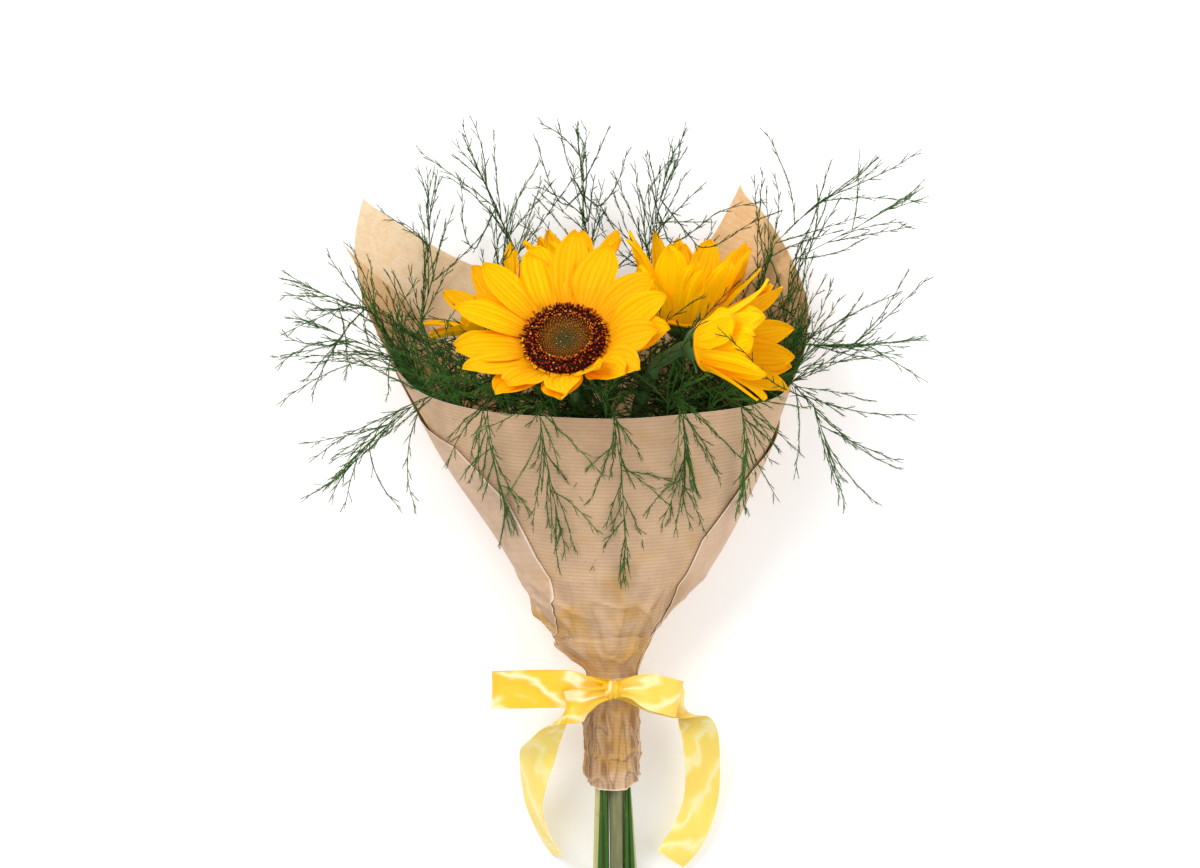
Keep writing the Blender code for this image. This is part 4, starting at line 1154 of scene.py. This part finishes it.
# Single twigs that cross in front of the blooms: points they pass.
WISPS = {
    "right_low": [[(104, 208, 160), (88, 224, 184), (66, 243, 188)]],
    "front_right_mid": [[(45, 206, 148), (44, 228, 178), (60, 250, 190), (82, 274, 188)]],
    "front_mid": [[(-8, 206, 146), (-4, 222, 174), (20, 250, 190)]],
    "front_left_mid": [[(-50, 204, 146), (-58, 214, 170), (-66, 232, 186)]],
    "front_left": [[(-78, 206, 140), (-84, 220, 168), (-87, 240, 186)]],
    "top_left": [[(-74, 268, 104), (-66, 286, 120), (-86, 310, 118)],
                 [(-92, 300, 80), (-100, 330, 96), (-104, 352, 104)]],
    "top_right": [[(38, 304, 70), (68, 322, 96), (102, 328, 108)],
                  [(58, 300, 88), (86, 312, 104), (116, 324, 110)],
                  [(30, 312, 60), (24, 334, 84), (42, 360, 96)]],
    "top_mid": [[(-30, 330, 50), (-44, 352, 76), (-50, 372, 84)],
                [(-10, 330, 50), (6, 350, 76), (10, 366, 84)]],
}


def solid_tree():
    """All the solids but the fern, for finding what a twig would meet."""
    points, faces = [], []
    for name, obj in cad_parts.items():
        if not name.startswith("fern_"):
            first = len(points)
            points.extend(obj.matrix_world @ v.co / MM + ORIGIN for v in obj.data.vertices)
            faces.extend(tuple(first + k for k in p.vertices) for p in obj.data.polygons)
    return BVHTree.FromPolygons(points, faces)


def clear_path(tree, path, fixed):
    """Moves the loose part of a path away from whatever it passes too close to."""
    path = [p.copy() for p in path]
    for _ in range(TRIES):
        moved = False
        for k in range(fixed, len(path)):
            for share in (0.17, 0.34, 0.5, 0.67, 0.84, 1.0):
                spot = path[k - 1].lerp(path[k], share)
                found, _n, _i, distance = tree.find_nearest(spot, CLEARANCE)
                if found is None:
                    continue
                away = spot - found
                away = away.normalized() if away.length > 1e-6 else Vector((0, 0, 1))
                push = away * (CLEARANCE - distance + 0.1)
                for j, part in ((k, share), (k - 1, 1 - share)):
                    if j >= fixed:
                        path[j] = path[j] + push * part
                        path[j].z = max(path[j].z, LOWEST)
                moved = True
        if not moved:
            break
    return path


def spray_path(tree, spray, index):
    """The spray's main stem, from its foot or the sleeve up through the wrap and out past the rim."""
    level = bundled(FERN_CIRCLE, spray["slot"])
    foot = [Vector(p) for p in spray.get("foot", ())]
    low = foot + [level(-66 if foot else -58 - 3 * (index % 4)), level(2)]
    inside = []
    for y in (14, 26, 62, 105):
        inside.append(wrap_point(lerp(spray["slot"], spray["angle"], min(1, y / 80)), y, -6.5))
    inside += [wrap_point(spray["angle"], y, -7.5) for y in spray["climb"]]
    if spray["over"] is not None:
        inside.append(wrap_point(spray["over"], at(SHEETS["front"]["rim"], spray["over"]) + 12, -6))
    hangs = spray["name"].startswith("front")
    outside = [wrap_point(*p) if hangs else Vector(p) for p in spray["outside"]]
    upper = smooth_path([low[-1]] + inside + outside, STEM_STEP)
    path = clear_path(tree, low[:-1] + upper, len(low))
    radii = [FERN_FOOT] * len(foot) + [FERN_STEM] * 2
    radii += [max(0.5, FERN_STEM - 0.55 * k / len(path)) for k in range(len(path) - len(low))]
    return path, radii


class Twigs:
    """Grows one spray's twigs and needles into a shell, clear of what is already there."""

    def __init__(self, tree, settings, seed, limits, habit):
        self.tree = tree
        self.settings = settings
        self.draw = random.Random(seed)
        self.shell = Shell("tone", "tip")
        self.low, self.high = limits
        self.habit = habit

    def by_chance(self, spread):
        return Vector([self.draw.gauss(0, spread) for _ in range(3)])

    def inside(self, spot):
        return all(lo <= s <= hi for lo, s, hi in zip(self.low, spot, self.high))

    def run(self, root, aim, length, fall, marks, lowest):
        """Points of a twig: it bends one way a little, steers for `marks` and slides over what it meets."""
        direction = aim.normalized()
        bend = self.by_chance(0.022)
        marks = [Vector(mark) for mark in marks]
        points = [root]
        for _ in range(max(2, round(length / TWIG_STEP))):
            nudge = self.by_chance(0.025)
            if marks:
                toward = marks[0] - points[-1]
                nudge += toward.normalized() * 0.5
                if toward.length < 2 * TWIG_STEP:
                    marks.pop(0)
            direction = (direction + nudge + bend + fall).normalized()
            hit, normal, _i, _d = self.tree.ray_cast(points[-1], direction, TWIG_STEP + 1.2)
            if hit is not None:
                if normal.dot(direction) > 0:
                    normal = -normal
                direction = (direction - normal * direction.dot(normal) * 1.15).normalized()
                if self.tree.ray_cast(points[-1], direction, TWIG_STEP + 0.8)[0] is not None:
                    break
            spot = points[-1] + direction * TWIG_STEP
            if spot.y < lowest or not self.inside(spot):
                break
            points.append(spot)
        return points

    def needles(self, points, tone):
        """Slender spikes set alternately along a twig, close to its direction."""
        draw = self.draw
        spacing = self.settings.spacing
        longest = self.settings.needle * self.habit["needle"]
        travelled = spacing * draw.random()
        side_turn = draw.uniform(0, tau)
        total = sum((b - a).length for a, b in zip(points, points[1:]))
        passed = 0.0
        made, faces = [], []
        for a, b, along in zip(points, points[1:], tangents(points)):
            span = (b - a).length
            while travelled < passed + span:
                spot = a.lerp(b, (travelled - passed) / span)
                side_turn += pi + draw.uniform(-0.8, 0.8)
                side = along.orthogonal().normalized()
                side.rotate(Matrix.Rotation(side_turn, 3, along))
                angle = draw.uniform(0.2, 0.46)
                aim = along * cos(angle) + side * sin(angle)
                length = longest * draw.uniform(0.55, 1.1) * (1 - 0.4 * travelled / total)
                if spot.z + aim.z * length > 0.8:
                    across = aim.orthogonal().normalized() * NEEDLE_RADIUS
                    other = aim.cross(across)
                    base = spot - aim * 0.3
                    corners = [base - across * 0.5 + other * 0.87, base - across * 0.5 - other * 0.87]
                    n = len(made)
                    made += [base + across, *corners, spot + aim * length]
                    faces += [(n, n + 1, n + 3), (n + 1, n + 2, n + 3), (n + 2, n, n + 3), (n + 2, n + 1, n)]
                travelled += spacing * draw.uniform(0.7, 1.3)
            passed += span
        self.shell.add(made, faces, tone=tone, tip=[0.0, 0.0, 0.0, 1.0] * (len(made) // 4))

    def twig(self, root, aim, length, fall, radius, tone, marks=(), lowest=NO_LIMIT, forked=True):
        """A twig with its needles; side twigs stand on it alternately, at sharp angles and in one plane."""
        points = self.run(root, aim, length, fall, marks, lowest)
        if len(points) < 3:
            return
        radii = [lerp(radius, 0.18, k / (len(points) - 1)) for k in range(len(points))]
        self.shell.add(*tube(points, radii, 4 if radius > 0.4 else 3), tone=tone * 0.5)
        self.needles(points, tone)
        if not forked:
            return
        draw = self.draw
        along = tangents(points)
        flat = along[0].orthogonal().normalized()
        flat.rotate(Matrix.Rotation(draw.uniform(0, tau), 3, along[0]))
        hand = draw.choice((-1, 1))
        for k in range(2, len(points) - 1, 2):
            hand = -hand
            side = (flat - along[k] * flat.dot(along[k])).normalized() * hand
            side += self.by_chance(0.35)
            reach = self.habit["side"] * 0.45 * (draw.uniform(0.5, 1.25) * (1.1 - k / len(points)))
            aim = along[k] + side * draw.uniform(0.22, 0.42)
            self.twig(points[k], aim, reach, fall * 0.6, radius * 0.66, tone, (), lowest, False)


def shoot_aim(draw, root, along, habit):
    """Direction of a long shoot: along the stem, drawn outwards, and turned sideways and up by chance."""
    away = Vector((copysign(habit["away"], root.x), 0, 0))
    aim = (along + away).normalized()
    aim.rotate(Matrix.Rotation(radians(draw.gauss(0, habit["turn"])), 3, "Z"))
    aim.z += draw.gauss(habit["lift"], 0.14)
    return aim


def grow_spray(tree, spray, index, settings, limits):
    """A main stem with long shoots that fan out from it, and a tuft that fills the mouth of the wrap."""
    habit = next(row for row in HABITS if spray["name"].startswith(row["group"]))
    grower = Twigs(tree, settings, FERN_SEED + 17 * index, limits, habit)
    draw = grower.draw
    path, radii = fine_polyline(*spray_path(tree, spray, index), 5.0)
    start = next(k for k, p in enumerate(path) if p.y > habit["leafy"])
    radii = [r * lerp(1.0, 0.45, ease(start - 8, start + 2, k)) for k, r in enumerate(radii)]
    grower.shell.add(*tube(path, radii, 6), tone=0.35)
    fall = Vector(habit["fall"])
    along = tangents(path)
    for n in range(habit["count"]):
        share = ((n + draw.random()) / habit["count"]) ** 1.4
        k = start + int(share * (len(path) - 1 - start))
        length = habit["length"] * (1 - 0.3 * share) * draw.uniform(0.55, 1.15)
        tone = habit["light"] + 0.6 * draw.random() ** 1.6 + 0.15 * share
        grower.twig(path[k], shoot_aim(draw, path[k], along[k], habit), length, fall, TWIG_RADIUS, tone)
    highest = max(range(len(path)), key=lambda k: path[k].y)
    mouth = [p for p in path[: highest + 1] if TUFT_ROOTS[0] < p.y < TUFT_ROOTS[1]]
    for _ in range(habit["tuft"]):
        root = draw.choice(mouth)
        x = root.x * draw.uniform(0.55, 1.0) + draw.gauss(0, 18)
        y = draw.uniform(182, habit["rise"])
        middle = Vector((x, y, lerp(root.z, 72.0, draw.uniform(0.0, 0.85))))
        swing = draw.uniform(*habit["reach"]) * 45
        end = middle + Vector((swing, draw.uniform(0, 45), draw.uniform(-12, 24)))
        length = (middle - root).length + (end - middle).length
        # Mostly dark: painted shade in the mouth of the wrap.
        tone = draw.random() ** 2.6
        grower.twig(root, middle - root, length, Vector(), TWIG_RADIUS, tone, (middle, end), MOUTH)
    for marks in WISPS.get(spray["name"], ()):
        first = Vector(marks[0])
        root = min(path, key=lambda p: (p - first).length)
        length = sum((Vector(a) - Vector(b)).length for a, b in zip([root] + marks, marks))
        grower.twig(root, first - root, length, Vector(), 0.5, 0.1, marks)
    for _ in range(2):
        grower.twig(path[-1], along[-1] + grower.by_chance(0.12), 34, fall, 0.42, 0.6)
    return grower.shell


# ---------------------------------------------------------------- operators


class BuildPaper(bpy.types.Operator):
    """Builds the two sheets of ribbed paper round the bunch"""

    bl_idname = "bunch.build_paper"
    bl_label = "Paper"

    def execute(self, context):
        settings = context.scene.bunch.paper
        kraft = kraft_finish("kraft_paper", settings, tuple(settings.kraft), (0.9, 0.61, 0.33), (0.26, 0.1))
        front = paper_shell(SHEETS["front"], settings, 180)
        front.build("front_paper", kraft, "kraft_paper", ["wrap_front"], SHARP_PAPER)
        pale = kraft_finish("pale_paper", settings, (0.7, 0.485, 0.33), tuple(settings.pale), (0.09, 0.06))
        back = paper_shell(SHEETS["back"], settings, 140)
        back.build("back_paper", pale, "pale_paper", ["wrap_back"], SHARP_PAPER)
        return {"FINISHED"}


class BuildRibbon(bpy.types.Operator):
    """Builds the satin bow with its band, knot, two loops and two tails"""

    bl_idname = "bunch.build_ribbon"
    bl_label = "Ribbon"

    def execute(self, context):
        settings = context.scene.bunch.ribbon
        shell = Shell("along", "across", "fold", "under", "pale")
        length = tau * BAND_RADIUS + KNOT_LENGTH
        for points, marks, pale in RIBBON_RUNS:
            length += ribbon_strip(shell, points, marks, settings.width, pale)
        ribbon_band(shell, settings.width)
        ribbon_knot(shell)
        bow = shell.build("satin_bow", satin_finish(settings), "satin_ribbon", ["ribbon"], 50)
        flat = (settings.width * MM, length * MM)
        return {"FINISHED"}


def build_blooms(part, finish, slot, sharp, grow):
    """Builds one part of every bloom, in place of the solid of that part."""
    for bloom in BLOOMS:
        shell = grow(bloom, facing(bloom))
        shell.build(f"{bloom['name']}_{part}", finish, slot, [f"{part}_{bloom['name']}"], sharp)
    return {"FINISHED"}


class BuildStems(bpy.types.Operator):
    """Builds the five ridged stems, each with its green cup and bracts"""

    bl_idname = "bunch.build_stems"
    bl_label = "Stems"

    def execute(self, context):
        return build_blooms("stem", stem_finish(), "stem_green", 45, stem_shell)


class BuildPetals(bpy.types.Operator):
    """Builds the two layers of yellow petals of each bloom"""

    bl_idname = "bunch.build_petals"
    bl_label = "Petals"

    def execute(self, context):
        finish = petal_finish(context.scene.bunch.bloom)
        return build_blooms("petals", finish, "petal_yellow", 60, petals_shell)


class BuildDiscs(bpy.types.Operator):
    """Builds the disc of florets of each bloom"""

    bl_idname = "bunch.build_discs"
    bl_label = "Discs"

    def execute(self, context):
        grow = partial(disc_shell, florets=context.scene.bunch.bloom.florets)
        return build_blooms("disc", disc_finish(), "disc_brown", 50, grow)


class BuildFern(bpy.types.Operator):
    """Builds the sixteen sprays of asparagus fern"""

    bl_idname = "bunch.build_fern"
    bl_label = "Fern"

    def execute(self, context):
        settings = context.scene.bunch.fern
        finish = fern_finish(settings)
        tree = solid_tree()
        low, high = ([c / MM + o for c, o in zip(corner, ORIGIN)] for corner in CAD_BOX)
        limits = ([c - ROOM for c in low[:2]] + [1.0], [c + ROOM for c in high])
        for index, spray in enumerate(SPRAYS):
            shell = grow_spray(tree, spray, index, settings, limits)
            shell.build(spray["name"] + "_spray", finish, "fern_green", ["fern_" + spray["name"]])
        return {"FINISHED"}


FLOOR = 6.0
FLOOR_DROP = -0.0005
LIT_SPOT = Vector((0, 0, 0.05))


def area_light(name, place, size, power):
    """A square soft light that shines on the middle of the bunch."""
    light = bpy.data.lights.new(name, "AREA")
    light.shape = "RECTANGLE"
    light.size = light.size_y = size
    light.energy = power
    obj = bpy.data.objects.new(name, light)
    bpy.context.scene.collection.objects.link(obj)
    obj.location = place
    obj.rotation_euler = (LIT_SPOT - Vector(place)).to_track_quat("-Z", "Y").to_euler()


class BuildStage(bpy.types.Operator):
    """Sets the pale floor, the soft lights and the camera that looks down on the bunch"""

    bl_idname = "bunch.build_stage"
    bl_label = "Stage"

    def execute(self, context):
        settings = context.scene.bunch.stage
        scene = context.scene
        mesh = bpy.data.meshes.new("floor")
        corners = [(-FLOOR, -FLOOR, 0), (FLOOR, -FLOOR, 0), (FLOOR, FLOOR, 0), (-FLOOR, FLOOR, 0)]
        mesh.from_pydata(corners, [], [(0, 1, 2, 3)])
        mesh.materials.append(floor_finish(tuple(settings.floor)))
        floor = bpy.data.objects.new("floor", mesh)
        floor.location.z = FLOOR_DROP
        scene.collection.objects.link(floor)
        floor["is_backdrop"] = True
        area_light("key", (-0.9, 0.9, 1.7), 1.1, 27.0)
        area_light("fill", (1.3, -0.2, 1.5), 1.5, 14.0)
        world = bpy.data.worlds.new("studio")
        world.use_nodes = True
        background = world.node_tree.nodes["Background"].inputs
        background["Color"].default_value = (1, 1, 1, 1)
        background["Strength"].default_value = 0.62
        scene.world = world
        camera = bpy.data.cameras.new("camera")
        camera.lens = 85.0
        camera.sensor_width = 36.0
        camera.clip_end = 20.0
        eye = bpy.data.objects.new("camera", camera)
        scene.collection.objects.link(eye)
        eye.location = (-0.0032, -0.041, settings.distance)
        scene.camera = eye
        scene.view_settings.view_transform = "Standard"
        return {"FINISHED"}


class BunchPanel(bpy.types.Panel):
    """Lists the pieces of the bunch and the sizes that can be changed"""

    bl_idname = "VIEW3D_PT_bunch"
    bl_label = "Bunch of sunflowers"
    bl_space_type = "VIEW_3D"
    bl_region_type = "UI"
    bl_category = "Bunch"

    def draw(self, context):
        settings = context.scene.bunch
        for operator in OPERATORS:
            self.layout.operator(operator.bl_idname)
        for group in (settings.paper, settings.ribbon, settings.bloom, settings.fern, settings.stage):
            box = self.layout.box()
            for key in group.__annotations__:
                box.prop(group, key)


GROUPS = (PaperSettings, RibbonSettings, BloomSettings, FernSettings, StageSettings, BunchSettings)
OPERATORS = (BuildStage, BuildPaper, BuildRibbon, BuildStems, BuildPetals, BuildDiscs, BuildFern)


def register():
    for cls in (*GROUPS, *OPERATORS, BunchPanel):
        bpy.utils.register_class(cls)
    bpy.types.Scene.bunch = PointerProperty(type=BunchSettings)


def unregister():
    del bpy.types.Scene.bunch
    for cls in reversed((*GROUPS, *OPERATORS, BunchPanel)):
        bpy.utils.unregister_class(cls)


def main():
    register()
    bpy.ops.bunch.build_stage()
    bpy.ops.bunch.build_paper()
    bpy.ops.bunch.build_ribbon()
    bpy.ops.bunch.build_stems()
    bpy.ops.bunch.build_petals()
    bpy.ops.bunch.build_discs()
    bpy.ops.bunch.build_fern()
    boxes = {"cad": CAD_BOX, "visual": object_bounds()}
    {key: [list(map(float, corner)) for corner in box] for key, box in boxes.items()}


if __name__ == "__main__":
    main()
